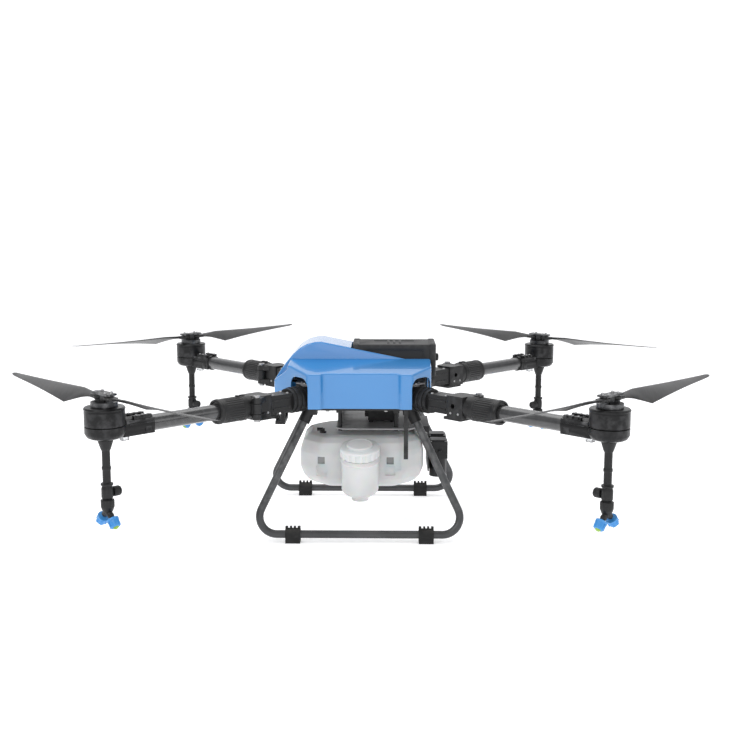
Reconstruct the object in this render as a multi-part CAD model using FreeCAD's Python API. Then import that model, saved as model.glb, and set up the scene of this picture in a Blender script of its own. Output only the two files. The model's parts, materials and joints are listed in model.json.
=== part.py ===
import FreeCAD, Part
import math
import os
from FreeCAD import Vector

# Agricultural spray drone: a folding four-arm airframe with a 10 litre tank.
# Millimetres. X runs from nose (-X) to tail (+X), Y from left (-Y) to right (+Y), Z up.
# Inside the functions z = 0 is the motors' mid height; write() lifts every part so that
# z = 0 in the saved files is the ground under the skids.

# ---- driving dimensions -------------------------------------------------------------
PROP_DIAMETER = 762.0              # 30 inch folding propeller
MOTOR_OFFSET = 500.0               # each motor's distance from the middle along X and along Y
DATUM_HEIGHT = 336.5               # ground to the motors' mid height
ARM_Z = -16.0                      # the carbon tubes sit a little below the motors' middle
TUBE_R, TUBE_WALL = 17.0, 1.5
TUBE_START = 367.0                 # the tubes' inner ends, seated in the fold sleeves
ARM_ROOT, HINGE_FACE = 189.0, 346.5  # along an arm: the frame corner, and the parting face
PIN_SIDE, PIN_R, EAR_R = 30.0, 4.0, 11.0
COLLAR_R = 28.0
POD_R, POD_HALF = 40.5, 32.0
GROOVE_Z = -7.0                    # the gap between the turning bell and its base
BELL_GAP = 0.8
CLAMP_START = 603.0                # where the motor clamp begins along an arm
BLADE_Z, BLADE_PIVOT = 50.0, 20.0
HUB_R, HUB_DISC, HUB_TOP = 27.0, 10.0, 56.0
RUN_GAP = 0.05                     # radial clearance of a pin in its bore
FRAME_HALF, FRAME_CORNER = 150.0, 117.0
FRAME_LOW, FRAME_HIGH, BEAM = -42.0, 12.0, 24.0
PLATE = 3.0                        # thickness of the plates
POST_PLACES = [(x, y) for x in (-75.0, 60.0) for y in (-138.0, 138.0)]   # bolts through the frame
BAY_HOLES = [(x, y) for x in (20.0, 80.0) for y in (-40.0, 40.0)]        # free holes of the lower deck
DECK_POSTS = [(-48.0, -92.0), (84.0, -92.0), (-48.0, 124.0), (84.0, 124.0)]
TOP_PLATE_Z, TRAY_Z, DECK_Z = 14.0, 20.0, -95.0
SKID_Y, SKID_Z, SKID_CORNER_X, SKID_R = 208.6, -318.0, 252.0, 9.0
LEG_TOP = (118.0, 129.0, -45.0)
SKID_BEND = 40.0
PAD_X, PAD_LENGTH = 152.0, 34.0
TANK_X, TANK_Y, TANK_TOP, TANK_HEIGHT = (-145.0, 150.0), 115.0, -112.0, 125.0
TANK_WALL = 3.0
OUTLET_R, OUTLET_BORE, OUTLET_LENGTH = 20.0, 12.0, 12.0
NECK_Y, NECK_R, NECK_TILT = -152.0, 43.0, 12.0
SHELL = 2.6                        # canopy wall
CANOPY_PLAN = [(-205, -66), (-161, -114), (-121, -168), (121, -168), (165, -112),
               (165, 112), (121, 168), (-121, 168), (-161, 114), (-205, 66)]
SHELL_LOW, SIDE_HIGH, SHOULDER_RISE, HUMP_HALF = -36.0, 44.0, 22.0, 62.0
BATTERY_X, BATTERY_HALF, BATTERY_Z = (-19.0, 178.0), 58.0, (24.0, 101.0)

ARM_REACH = MOTOR_OFFSET * math.sqrt(2.0)
PROP_R = PROP_DIAMETER / 2.0
ARMS = {"rear_right": 45.0, "front_right": 135.0, "front_left": 225.0, "rear_left": 315.0}
COUNTER_ROTATING = ("front_left", "rear_right")   # these two propellers are the mirror image of the others


# ---- small helpers ------------------------------------------------------------------
def block(x, y, z):
    """Box from three (low, high) pairs."""
    return Part.makeBox(x[1] - x[0], y[1] - y[0], z[1] - z[0], Vector(x[0], y[0], z[0]))


def rod(radius, start, end):
    """Cylinder between two points."""
    a, b = Vector(*start), Vector(*end)
    return Part.makeCylinder(radius, (b - a).Length, a, b - a)


def cone(r_start, r_end, start, end):
    a, b = Vector(*start), Vector(*end)
    return Part.makeCone(r_start, r_end, (b - a).Length, a, b - a)


def ring(outer, inner, start, end):
    return rod(outer, start, end).cut(rod(inner, start, end))


def slab(points, low, high):
    """Plan outline raised from low to high."""
    wire = Part.makePolygon([Vector(x, y, low) for x, y in points + points[:1]])
    return Part.Face(wire).extrude(Vector(0, 0, high - low))


def side_slab(points, low, high):
    """Outline in X and Z, pulled along Y."""
    wire = Part.makePolygon([Vector(x, low, z) for x, z in points + points[:1]])
    return Part.Face(wire).extrude(Vector(0, high - low, 0))


def octagon(half_x, half_y, corner):
    return [(-half_x, -half_y + corner), (-half_x + corner, -half_y), (half_x - corner, -half_y),
            (half_x, -half_y + corner), (half_x, half_y - corner), (half_x - corner, half_y),
            (-half_x + corner, half_y), (-half_x, half_y - corner)]


def turned(profile):
    """Solid of revolution about Z from (radius, z) points."""
    wire = Part.makePolygon([Vector(r, 0, z) for r, z in profile + profile[:1]])
    return Part.Face(wire).revolve(Vector(0, 0, 0), Vector(0, 0, 1), 360)


def loft(sections):
    """Solid through closed outlines, each a list of points."""
    wires = [Part.makePolygon([Vector(*p) for p in s + s[:1]]) for s in sections]
    return Part.makeLoft(wires, True, True)


def join(solids):
    solid = solids[0].fuse(solids[1:]) if len(solids) > 1 else solids[0]
    return solid.removeSplitter()


def moved(solid, by):
    result = solid.copy()
    result.translate(Vector(*by))
    return result


def spun(solid, degrees, centre=(0, 0, 0), axis=(0, 0, 1)):
    result = solid.copy()
    result.rotate(Vector(*centre), Vector(*axis), degrees)
    return result


def mirrored_y(solid):
    return solid.mirror(Vector(0, 0, 0), Vector(0, 1, 0))


def write(name, solids):
    """Save one node: its separate solids, lifted so that the ground is z = 0."""
    lifted = Part.makeCompound([moved(s, (0, 0, DATUM_HEIGHT)) for s in solids])
    for solid in lifted.Solids:
        assert solid.isValid() and solid.isClosed(), name
    lifted.exportStep(os.path.join("parts", name + ".step"))
    print(name, len(lifted.Solids), "solids", round(lifted.Volume / 1000.0, 1), "cm3")


# ---- one arm, built along +X from the middle of the drone ---------------------------
def arm_root():
    """Clamp on the frame's corner, the box section behind the hinge and its two fixed ears."""
    clamp = rod(28, (ARM_ROOT, 0, ARM_Z), (236, 0, ARM_Z))
    ribs = [rod(30, (x, 0, ARM_Z), (x + 4, 0, ARM_Z)) for x in (194, 208, 222)]
    neck = block((232, 302), (-20, 20), (ARM_Z - 20, ARM_Z + 20))
    head = slab([(298, -22), (304, -26), (HINGE_FACE, -26), (HINGE_FACE, 26), (304, 26), (298, 22)],
                ARM_Z - 25, ARM_Z + 25)
    lip = slab([(290, -24), (340, -24), (340, 24), (290, 24)], ARM_Z - 30, ARM_Z - 24)
    root = join([clamp, neck, head, lip] + ribs)
    root = root.cut(rod(5.5, (318, -40, ARM_Z + 2), (318, 18, ARM_Z + 2)))
    pin = (HINGE_FACE, PIN_SIDE)
    ears = []
    for low, high in ((ARM_Z + 12, ARM_Z + 24), (ARM_Z - 24, ARM_Z - 12)):
        web = slab([(318, 20), (HINGE_FACE, 20), (HINGE_FACE, 39), (341, 39), (318, 27)], low, high)
        ears.append(web.fuse(rod(EAR_R, pin + (low,), pin + (high,))))
    middle_gap = rod(EAR_R + 1.2, pin + (ARM_Z - 11.8,), pin + (ARM_Z + 11.8,))
    root = root.cut(middle_gap)
    root = join([root] + ears)
    for low, high in ((ARM_Z + 24, ARM_Z + 60), (ARM_Z - 60, ARM_Z - 24)):
        root = root.cut(rod(8.5, pin + (low,), pin + (high,)))
    return root.cut(rod(PIN_R + RUN_GAP, pin + (ARM_Z - 60,), pin + (ARM_Z + 60,)))


def fold_pin():
    """Shouldered hinge pin with a head above and a nut below the ears."""
    pin = (HINGE_FACE, PIN_SIDE)
    shank = rod(PIN_R, pin + (ARM_Z - 24.2,), pin + (ARM_Z + 24.2,))
    head = rod(7.5, pin + (ARM_Z + 24.2,), pin + (ARM_Z + 28.5,))
    socket = rod(3, pin + (ARM_Z + 26.5,), pin + (ARM_Z + 30,))
    nut = rod(7, pin + (ARM_Z - 29.5,), pin + (ARM_Z - 24.2,))
    return join([shank, head, nut]).cut(socket)


def fold_sleeve():
    """Moving half of the hinge: a flange with the middle lug, and the socket of the tube."""
    face = HINGE_FACE + 0.4
    pin = (HINGE_FACE, PIN_SIDE)
    flange = rod(26, (face, 0, ARM_Z), (face + 13, 0, ARM_Z))
    socket = rod(22, (face + 13, 0, ARM_Z), (434, 0, ARM_Z))
    lug = rod(EAR_R, pin + (ARM_Z - 11,), pin + (ARM_Z + 11,))
    web = slab([(face, 10), (371 - 12, 10), (371 - 12, 27), (352, 39), (face, 39)], ARM_Z - 11, ARM_Z + 11)
    body = join([flange, socket, lug.fuse(web)])
    for low, high in ((ARM_Z + 11.6, ARM_Z + 40), (ARM_Z - 40, ARM_Z - 11.6)):
        body = body.cut(rod(EAR_R + 0.6, pin + (low,), pin + (high,)))
    body = body.cut(rod(PIN_R + RUN_GAP, pin + (ARM_Z - 60,), pin + (ARM_Z + 60,)))
    return body.cut(rod(TUBE_R, (TUBE_START, 0, ARM_Z), (440, 0, ARM_Z)))


def lock_collar():
    """Ribbed collar that slides out along the arm to free the hinge."""
    inner, outer = HINGE_FACE + 14.0, 437.0
    shell = rod(26.5, (inner, 0, ARM_Z), (outer - 9, 0, ARM_Z))
    lip = cone(COLLAR_R, 26.5, (outer - 9, 0, ARM_Z), (outer, 0, ARM_Z))
    band = rod(COLLAR_R, (inner, 0, ARM_Z), (inner + 12, 0, ARM_Z))
    ribs = []
    for k in range(12):
        rib = block((inner + 14, outer - 22), (-1.6, 1.6), (26, 27.8))
        ribs.append(moved(spun(rib, 30 * k, axis=(1, 0, 0)), (0, 0, ARM_Z)))
    bumps = [rod(3.5, (inner + 6 + 13 * k, 0, ARM_Z + 25), (inner + 6 + 13 * k, 0, ARM_Z + 30)) for k in range(2)]
    collar = join([shell, lip, band] + ribs + bumps)
    bore = rod(22.3, (inner - 1, 0, ARM_Z), (outer + 1, 0, ARM_Z))
    return collar.cut(bore)


def arm_tube():
    return ring(TUBE_R, TUBE_R - TUBE_WALL, (TUBE_START, 0, ARM_Z), (ARM_REACH - POD_R - 3, 0, ARM_Z))


def motor_mount():
    """Split clamp on the tube's end with the motor base, and inside it the stator."""
    hub = (ARM_REACH, 0)
    start = CLAMP_START
    clamp = block((start, ARM_REACH - 30), (-19, 19), (ARM_Z - 17, ARM_Z + 15))
    barrel = rod(20, (start, 0, ARM_Z), (ARM_REACH - 30, 0, ARM_Z))
    ridges = [block((start + 6, start + 48), (y, y + 7), (ARM_Z + 13, ARM_Z + 23)) for y in (-18, 11)]
    base = turned([(0, -POD_HALF), (30, -POD_HALF), (36, -29), (POD_R, -21), (POD_R, GROOVE_Z - BELL_GAP),
                   (0, GROOVE_Z - BELL_GAP)])
    base = moved(base, hub + (0,))
    body = join([clamp, barrel, base] + ridges)
    body = body.cut(rod(TUBE_R, (start - 1, 0, ARM_Z), (ARM_REACH - POD_R - 3, 0, ARM_Z)))
    body = body.cut(block((start - 1, start + 52), (-1, 1), (ARM_Z, ARM_Z + 40)))
    body = body.cut(rod(POD_R + 2, hub + (GROOVE_Z - BELL_GAP,), hub + (40,)))
    body = body.cut(rod(4 + RUN_GAP, hub + (-24,), hub + (0,)))
    screws = []
    for k in range(3):
        x = start + 13 + 14 * k
        body = body.cut(rod(2, (x, -30, ARM_Z + 19.5), (x, 30, ARM_Z + 19.5)))
        shank = rod(1.9, (x, -19, ARM_Z + 19.5), (x, 19, ARM_Z + 19.5))
        head = rod(3.2, (x, -21.5, ARM_Z + 19.5), (x, -18.1, ARM_Z + 19.5))
        screws.append(join([shank, head]))
    stator = ring(33.5, 14, hub + (GROOVE_Z - BELL_GAP,), hub + (24,))
    return [body, stator] + screws


def motor_bell():
    """Turning cup with its top disc and the shaft."""
    hub = (ARM_REACH, 0)
    cup = turned([(0, 28), (36.5, 28), (36.5, GROOVE_Z), (POD_R, GROOVE_Z), (POD_R, 27), (41.5, 28),
                  (41.5, 31), (40.5, POD_HALF), (0, POD_HALF)])
    shaft = rod(4, (0, 0, -23), (0, 0, 29))
    return moved(join([cup, shaft]), hub + (0,))


def prop_hub():
    """Thick disc and a clamp plate round the blade roots, with a centre post and four bolts."""
    hub = (ARM_REACH, 0)
    low, high = POD_HALF, HUB_TOP
    disc = rod(HUB_R, (0, 0, low), (0, 0, low + HUB_DISC))
    post = block((-5, 5), (-8, 8), (low, high + 1))
    plate_high = slab([(-12, -29), (12, -29), (12, 29), (-12, 29)], high, high + 4)
    body = [disc, post, plate_high]
    for side in (-1, 1):
        pivot = (0, side * BLADE_PIVOT)
        body.append(rod(12, pivot + (high,), pivot + (high + 4,)))
        body.append(rod(3, pivot + (low + 2,), pivot + (high + 2,)))
        body.append(rod(8, pivot + (low + 5,), pivot + (BLADE_Z - 4.2,)))
        body.append(rod(8, pivot + (BLADE_Z + 4.2,), pivot + (high + 1,)))
        for x in (-7, 7):
            body.append(rod(2.6, (x, side * 17, high + 3), (x, side * 17, high + 6.5)))
    return moved(join(body), hub + (0,))


def blade(side):
    """Pitched blade with a sharp kink in its trailing edge, a straight taper and a raised tip."""
    stations = [  # distance from the hub, leading edge, trailing edge, pitch degrees, lift, thickness
        (30.0, 9.0, 10.0, 10.0, 0.0, 6.4), (46.0, 9.5, 11.0, 17.0, 0.1, 6.0), (62.0, 11.0, 15.0, 23.0, 0.2, 5.4),
        (0.25 * PROP_R, 15.0, 40.0, 26.0, 0.6, 4.4), (0.62 * PROP_R, 14.0, 24.0, 12.0, 2.0, 3.2),
        (0.95 * PROP_R, 9.0, 10.0, 6.0, 5.0, 2.0), (PROP_R, 5.0, 4.0, 4.0, 7.0, 1.4)]
    sections = []
    for reach, lead, trail, pitch, lift, thick in stations:
        outline = []
        tilt = math.radians(pitch)
        for across, height in ((lead, 0.0), (lead * 0.55, 0.42), (-trail * 0.3, 0.5), (-trail * 0.75, 0.25),
                               (-trail, 0.0), (-trail * 0.75, -0.15), (-trail * 0.2, -0.4), (lead * 0.6, -0.4)):
            up = height * thick
            outline.append((-across * math.cos(tilt) + up * math.sin(tilt), reach,
                            BLADE_Z + lift + across * math.sin(tilt) + up * math.cos(tilt)))
        sections.append(outline)
    wing = loft(sections)
    root = rod(EAR_R, (0, BLADE_PIVOT, BLADE_Z - 4), (0, BLADE_PIVOT, BLADE_Z + 4))
    solid = join([root, wing])
    solid = solid.cut(rod(3 + RUN_GAP, (0, BLADE_PIVOT, 0), (0, BLADE_PIVOT, 100)))
    if side < 0:
        solid = spun(solid, 180)
    return moved(solid, (ARM_REACH, 0, 0))


def spray_nozzle():
    """Down pipe, connector with a drum knob, and a twin head with two coloured spray caps."""
    top = -POD_HALF
    pipe = turned([(0, top), (16, top), (16, top - 5), (10.5, top - 22), (8.3, top - 26), (8.3, top - 58),
                   (9.4, top - 60), (9.4, top - 64), (8.3, top - 66), (8.3, top - 92), (0, top - 92)])
    flange = turned([(0, top - 92), (13, top - 92), (13, top - 97), (0, top - 97)])
    joint_body = turned([(0, top - 97), (10, top - 97), (12, top - 104), (12, top - 122), (9, top - 126),
                         (0, top - 126)])
    knob = join([rod(5, (0, 0, top - 112), (-16, 0, top - 112)),
                 rod(10, (-13, 0, top - 112), (-29, 0, top - 112))])
    nut = turned([(0, top - 126), (14, top - 126), (14, top - 142), (10, top - 152), (0, top - 152)])
    head, caps = [nut, rod(7, (0, 0, top - 150), (0, 0, top - 155))], []
    for side in (-1, 1):
        elbow = (0, side * 11.5, top - 158)
        head += [rod(7, (0, 0, top - 153), elbow), Part.makeSphere(7, Vector(*elbow))]
        way = Vector(0, side * 0.66, -0.75).normalize()
        seat = Vector(*elbow) + way * 7.2
        cap = join([Part.makeCylinder(11.5, 19, seat, way), Part.makeCylinder(12.6, 5, seat, way)])
        caps += [cap, Part.makeCylinder(4.5, 3.5, seat + way * 19, way)]
    solids = [join([pipe, flange]), join([joint_body, knob]), join(head)] + caps
    return [moved(solid, (ARM_REACH, 0, 0)) for solid in solids]


def arm_parts():
    """Node base name to its solids, for the arm along +X."""
    return {"arm_tube": [arm_tube()], "fold_sleeve": [fold_sleeve()], "lock_collar": [lock_collar()],
            "motor_mount": motor_mount(), "motor_bell": [motor_bell()], "prop_hub": [prop_hub()],
            "blade_a": [blade(1)], "blade_b": [blade(-1)], "spray_nozzle": spray_nozzle()}


# ---- airframe -----------------------------------------------------------------------
def frame_octagon(inset=0.0):
    half, corner = FRAME_HALF - inset, FRAME_CORNER - inset * 0.6
    return [(-half, -corner), (-corner, -half), (corner, -half), (half, -corner),
            (half, corner), (corner, half), (-corner, half), (-half, corner)]


def frame_beams():
    """Moulded ring that carries the four arm roots, with pockets in its side beams."""
    beams = slab(frame_octagon(), FRAME_LOW, FRAME_HIGH)
    beams = beams.cut(slab(frame_octagon(BEAM), FRAME_LOW - 1, FRAME_HIGH + 1))
    for side in (-1, 1):
        for centre in (-66, 0, 66):
            pocket = block((centre - 24, centre + 24), (-6, 6), (FRAME_LOW + 12, FRAME_HIGH - 12))
            beams = beams.cut(moved(pocket, (0, side * FRAME_HALF, 0)))
            beams = beams.cut(moved(spun(pocket, 90), (side * FRAME_HALF, 0, 0)))
    for x, y in POST_PLACES:
        beams = beams.cut(rod(2.6, (x, y, FRAME_LOW - 1), (x, y, FRAME_HIGH + 1)))
    return beams


def top_plate():
    """Upper carbon plate with a large window and two forward prongs."""
    outline = [(-150, -110), (-112, -146), (112, -146), (150, -110), (150, 110), (112, 146),
               (-112, 146), (-150, 110), (-150, 56), (-180, 52), (-180, 38), (-128, 34),
               (-128, -34), (-180, -38), (-180, -52), (-150, -56)]
    plate = slab(outline, TOP_PLATE_Z, TOP_PLATE_Z + PLATE)
    window = slab([(-96, -70), (-66, -104), (74, -104), (104, -70), (104, 70), (74, 104), (-66, 104),
                   (-96, 70)], TOP_PLATE_Z - 1, TOP_PLATE_Z + PLATE + 1)
    plate = plate.cut(window)
    for x, y in POST_PLACES:
        plate = plate.cut(rod(2.6, (x, y, 0), (x, y, 30)))
    pads = [block((sx * 128 - 9, sx * 128 + 9), (sy * 128 - 9, sy * 128 + 9), (FRAME_HIGH, TOP_PLATE_Z + 0.5))
            for sx in (-1, 1) for sy in (-1, 1)]
    return join([plate] + pads)


def battery_tray():
    """Tray under the battery on four short feet that stand on the top plate."""
    plate = slab(octagon(106, 106, 34), TRAY_Z, TRAY_Z + PLATE)
    plate = moved(plate, (3, 0, 0))
    for x in (-50, 10, 70):
        plate = plate.cut(block((x - 16, x + 16), (-60, -20), (0, 40)))
        plate = plate.cut(block((x - 16, x + 16), (20, 60), (0, 40)))
    feet = [rod(6, (3 + sx * 100, sy * 66, TOP_PLATE_Z + PLATE), (3 + sx * 100, sy * 66, TRAY_Z + 1))
            for sx in (-1, 1) for sy in (-1, 1)]
    return join([plate] + feet)


def lower_deck():
    """Lower carbon deck with mounting slots, hung on four posts under the frame."""
    outline = [(-57, -96), (-42, -110), (115, -110), (130, -96), (130, 126), (112, 146), (-40, 146), (-57, 128)]
    deck = slab(outline, DECK_Z, DECK_Z + PLATE)
    for y in (-60, -20, 20, 60):
        slot = join([block((-44, -24), (y - 2.5, y + 2.5), (DECK_Z - 1, DECK_Z + 9)),
                     rod(2.5, (-44, y, DECK_Z - 1), (-44, y, DECK_Z + 9)),
                     rod(2.5, (-24, y, DECK_Z - 1), (-24, y, DECK_Z + 9))])
        deck = deck.cut(slot)
    for x, y in BAY_HOLES:
        deck = deck.cut(rod(1.65, (x, y, DECK_Z - 1), (x, y, DECK_Z + 9)))
    for x, y in DECK_POSTS:
        deck = deck.cut(rod(2.6, (x, y, DECK_Z - 1), (x, y, DECK_Z + 9)))
    return deck


def deck_hangers():
    """Four posts between the ring and the lower deck, each on a short arm under a beam."""
    hangers = []
    for x, y in DECK_POSTS:
        side = -1 if y < 0 else 1
        post = rod(5, (x, y, DECK_Z + PLATE), (x, y, FRAME_LOW))
        bridge = block((x - 7, x + 7), (min(y, side * 140) - 5, max(y, side * 140) + 5), (FRAME_LOW - 6, FRAME_LOW))
        stud = rod(2.5, (x, y, DECK_Z - 4), (x, y, DECK_Z + PLATE + 2))
        nut = rod(4.5, (x, y, DECK_Z - 5), (x, y, DECK_Z))
        hangers.append(join([post, bridge, stud, nut]))
    bar = block((101, 111), (-155, -150), (-155, FRAME_LOW + 10))
    hangers.append(bar)
    return hangers


def frame_bolts():
    """Through bolts of the frame sandwich, with heads on the top plate and nuts below."""
    bolts = []
    for x, y in POST_PLACES:
        shank = rod(2.5, (x, y, FRAME_LOW - 3), (x, y, TOP_PLATE_Z + PLATE + 1))
        head = rod(5, (x, y, TOP_PLATE_Z + PLATE), (x, y, TOP_PLATE_Z + PLATE + 4))
        washer = ring(6, 2.5, (x, y, FRAME_HIGH), (x, y, TOP_PLATE_Z))
        nut = rod(4.5, (x, y, FRAME_LOW - 4), (x, y, FRAME_LOW))
        bolts.append(join([shank, head, washer, nut]))
    return bolts


# ---- landing gear -------------------------------------------------------------------
def gear_point(x, z):
    """A point of the left U frame: it leans out from the leg tops to the skid."""
    top_y, low_y = -LEG_TOP[1], -SKID_Y
    share = (LEG_TOP[2] - z) / (LEG_TOP[2] - SKID_Z)
    return Vector(x, top_y + (low_y - top_y) * share, z)


def bent_line(points, radius):
    """Wire of straight runs joined by tangent arcs."""
    edges, last = [], points[0]
    for before, corner, after in zip(points, points[1:], points[2:]):
        back, ahead = (before - corner).normalize(), (after - corner).normalize()
        half = back.getAngle(ahead) / 2.0
        trim = radius / math.tan(half)
        start, end = corner + back * trim, corner + ahead * trim
        middle_way = (back + ahead).normalize()
        middle = corner + middle_way * (radius / math.sin(half) - radius)
        edges += [Part.LineSegment(last, start).toShape(), Part.Arc(start, middle, end).toShape()]
        last = end
    edges.append(Part.LineSegment(last, points[-1]).toShape())
    return Part.Wire(edges)


def landing_gear():
    """One bent tube: two splayed legs and the skid between them."""
    corners = [gear_point(-LEG_TOP[0], LEG_TOP[2]), gear_point(-SKID_CORNER_X, SKID_Z),
               gear_point(SKID_CORNER_X, SKID_Z), gear_point(LEG_TOP[0], LEG_TOP[2])]
    path = bent_line(corners, SKID_BEND)
    edge = path.Edges[0]
    start, direction = edge.valueAt(edge.FirstParameter), edge.tangentAt(edge.FirstParameter)
    section = Part.Wire(Part.makeCircle(SKID_R, start, direction))
    tube = path.makePipeShell([section], True, False)
    return tube.cut(block((-200, 200), (-200, 0), (FRAME_LOW, FRAME_LOW + 30)))


def skid_pads():
    """Four toothed rubber feet round the skids; their undersides are the ground plane."""
    pads = []
    drop = DATUM_HEIGHT + SKID_Z
    for sy in (-1, 1):
        for sx in (-1, 1):
            x, y = sx * PAD_X, sy * SKID_Y
            low, high = (x - PAD_LENGTH / 2, y, SKID_Z), (x + PAD_LENGTH / 2, y, SKID_Z)
            body = rod(drop - 4, low, high)
            foot = block((low[0], high[0]), (y - 13, y + 13), (-DATUM_HEIGHT, SKID_Z))
            crown = block((low[0], high[0]), (y - 5, y + 5), (SKID_Z, SKID_Z + drop))
            notches = [block((x + k * 9 - 2.2, x + k * 9 + 2.2), (y - 20, y + 20),
                             (SKID_Z + drop - 5, SKID_Z + drop + 1)) for k in (-1, 0, 1)]
            pad = join([body, foot, crown]).cut(Part.makeCompound(notches))
            pads.append(pad.cut(rod(SKID_R + 0.05, low, high)))
    return pads


def leg_clamps():
    """Four sockets that hold the leg tops under the ring."""
    clamps = []
    along = gear_point(LEG_TOP[0], LEG_TOP[2]) - gear_point(SKID_CORNER_X, SKID_Z)
    along.normalize()
    for sx in (-1, 1):
        top = Vector(sx * LEG_TOP[0], -LEG_TOP[1], LEG_TOP[2])
        way = Vector(-sx * abs(along.x), abs(along.y), along.z)
        socket = Part.makeCylinder(13.5, 34, top - way * 30, way)
        middle_x = top.x - sx * 5
        saddle = block((middle_x - 14, middle_x + 14), (top.y - 13, top.y + 16), (FRAME_LOW - 12, FRAME_LOW))
        clamp = join([socket, saddle]).cut(block((-300, 300), (-300, 300), (FRAME_LOW, 100)))
        clamp = clamp.cut(Part.makeCylinder(SKID_R + 0.05, 44, top - way * 44, way))
        clamps += [clamp, mirrored_y(clamp)]
    return clamps


# ---- nose, pumps and electronics ----------------------------------------------------
def nose_bracket():
    """Shelf ahead of the ring, two drop posts and the cross bar that holds the camera."""
    shelf = slab([(-192, -44), (-192, 44), (-150, 60), (-150, -60)], 9, FRAME_HIGH)
    ledge = block((-153, -150), (-60, 60), (-20, FRAME_HIGH))
    posts = [block((-192, -182), (y, y + 8), (-96, 10)) for y in (-44, 36)]
    bar = block((-206, -182), (-44, 44), (-96, -88))
    face = block((-206, -203), (-30, 30), (-96, -40))
    return join([shelf, ledge, bar, face] + posts)


def fpv_camera():
    """Forward camera: box housing, stepped spout and a round lens."""
    front = -206.0
    housing = block((front - 22, front), (-26.5, 26.5), (-86, -41))
    spout = block((front - 30, front - 20), (-14, 14), (-78, -52))
    lens = rod(9, (front - 34, 0, -65), (front - 30.1, 0, -65))
    return [join([housing, spout]), lens]


def flight_controller():
    low = FRAME_HIGH
    body = block((-178, -131), (-29, 29), (low, low + 25))
    lid = block((-174, -135), (-25, 25), (low + 25, low + 27))
    sockets = [block((-131, -129.2), (y, y + 12), (low + 8, low + 15)) for y in (-24, -6, 12)]
    return join([body, lid] + sockets)


def gps_puck():
    base = rod(9, (-118, 0, TOP_PLATE_Z + PLATE), (-118, 0, TOP_PLATE_Z + PLATE + 3))
    mast = rod(4, (-118, 0, TOP_PLATE_Z + PLATE), (-118, 0, 52))
    puck = moved(turned([(0, 50), (27, 50), (30, 52), (30, 59), (27, 62), (0, 62)]), (-122, 0, 0))
    return join([base, mast, puck])


def power_module():
    """Power distribution box on the lower deck, with side terminals and four pegs."""
    low = DECK_Z + PLATE
    box = block((17, 83), (-34, 34), (low + 5, low + 30))
    lid = block((21, 79), (-30, 30), (low + 30, low + 33))
    pegs = [rod(5, (x, y, low), (x, y, low + 6)) for x in (24, 76) for y in (-28, 28)]
    sides = [block((x, x + 9), (y, y + 12), (low + 12, low + 22)) for x in (9, 82) for y in (-26, -6, 14)]
    return join([box, lid] + pegs + sides)


def pump_bracket():
    """Perforated plate behind the tank, hung from the tail end of the lower deck."""
    top = block((112, 163), (-66, 66), (DECK_Z - 3, DECK_Z))
    plate = block((160, 163), (-66, 66), (-205, DECK_Z))
    ribs = [side_slab([(134, DECK_Z - 3), (160, DECK_Z - 3), (160, DECK_Z - 16)], y, y + 3) for y in (-66, 63)]
    bracket = join([top, plate] + ribs)
    for z in (-112, -128):
        for y in (-44, -22, 0, 22, 44):
            bracket = bracket.cut(rod(5, (150, y, z), (170, y, z)))
    return bracket


def spray_pumps():
    """Two diaphragm pumps: square head with side ports above a round motor."""
    pumps = []
    for y in (-36, 36):
        x = 163.0 + 22.5
        head = block((163, 208), (y - 22, y + 22), (-176, -135))
        cover = block((167, 204), (y - 18, y + 18), (-135, -131))
        motor = rod(20.5, (x, y, -221), (x, y, -176))
        ports = [rod(4, (x + 4, y + s * 22, -158), (x + 4, y + s * 30, -158)) for s in (-1, 1)]
        pumps.append(join([head, cover, motor] + ports))
    return pumps


# ---- tank ---------------------------------------------------------------------------
def tank_body(inset):
    """Tank outer form, or with an inset its inside."""
    low, high = TANK_TOP - TANK_HEIGHT + inset, TANK_TOP - inset
    x0, x1, y = TANK_X[0] + inset, TANK_X[1] - inset, TANK_Y - inset
    def outline(shrink, cut, z):
        a, b, c = x0 + shrink, x1 - shrink, y - shrink
        return [(a, -c + cut, z), (a + cut, -c, z), (b - cut, -c, z), (b, -c + cut, z),
                (b, c - cut, z), (b - cut, c, z), (a + cut, c, z), (a, c - cut, z)]
    return loft([outline(30, 38, low), outline(8, 44, low + 22), outline(0, 46, low + 45),
                 outline(0, 46, high - 40), outline(8, 44, high - 16), outline(26, 38, high)])


def neck_axis(at):
    """Point on the filler neck's axis: at = 0 is its rim, larger values run down the neck."""
    lean = math.radians(NECK_TILT)
    return (0.0, NECK_Y - 8 + at * math.sin(lean), TANK_TOP - 14 - at * math.cos(lean))


def outlet_seat():
    """Middle of the boss under the filler column, where the outlet spigot starts."""
    foot = neck_axis(111)
    return (0, foot[1], foot[2] - 10)


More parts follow.
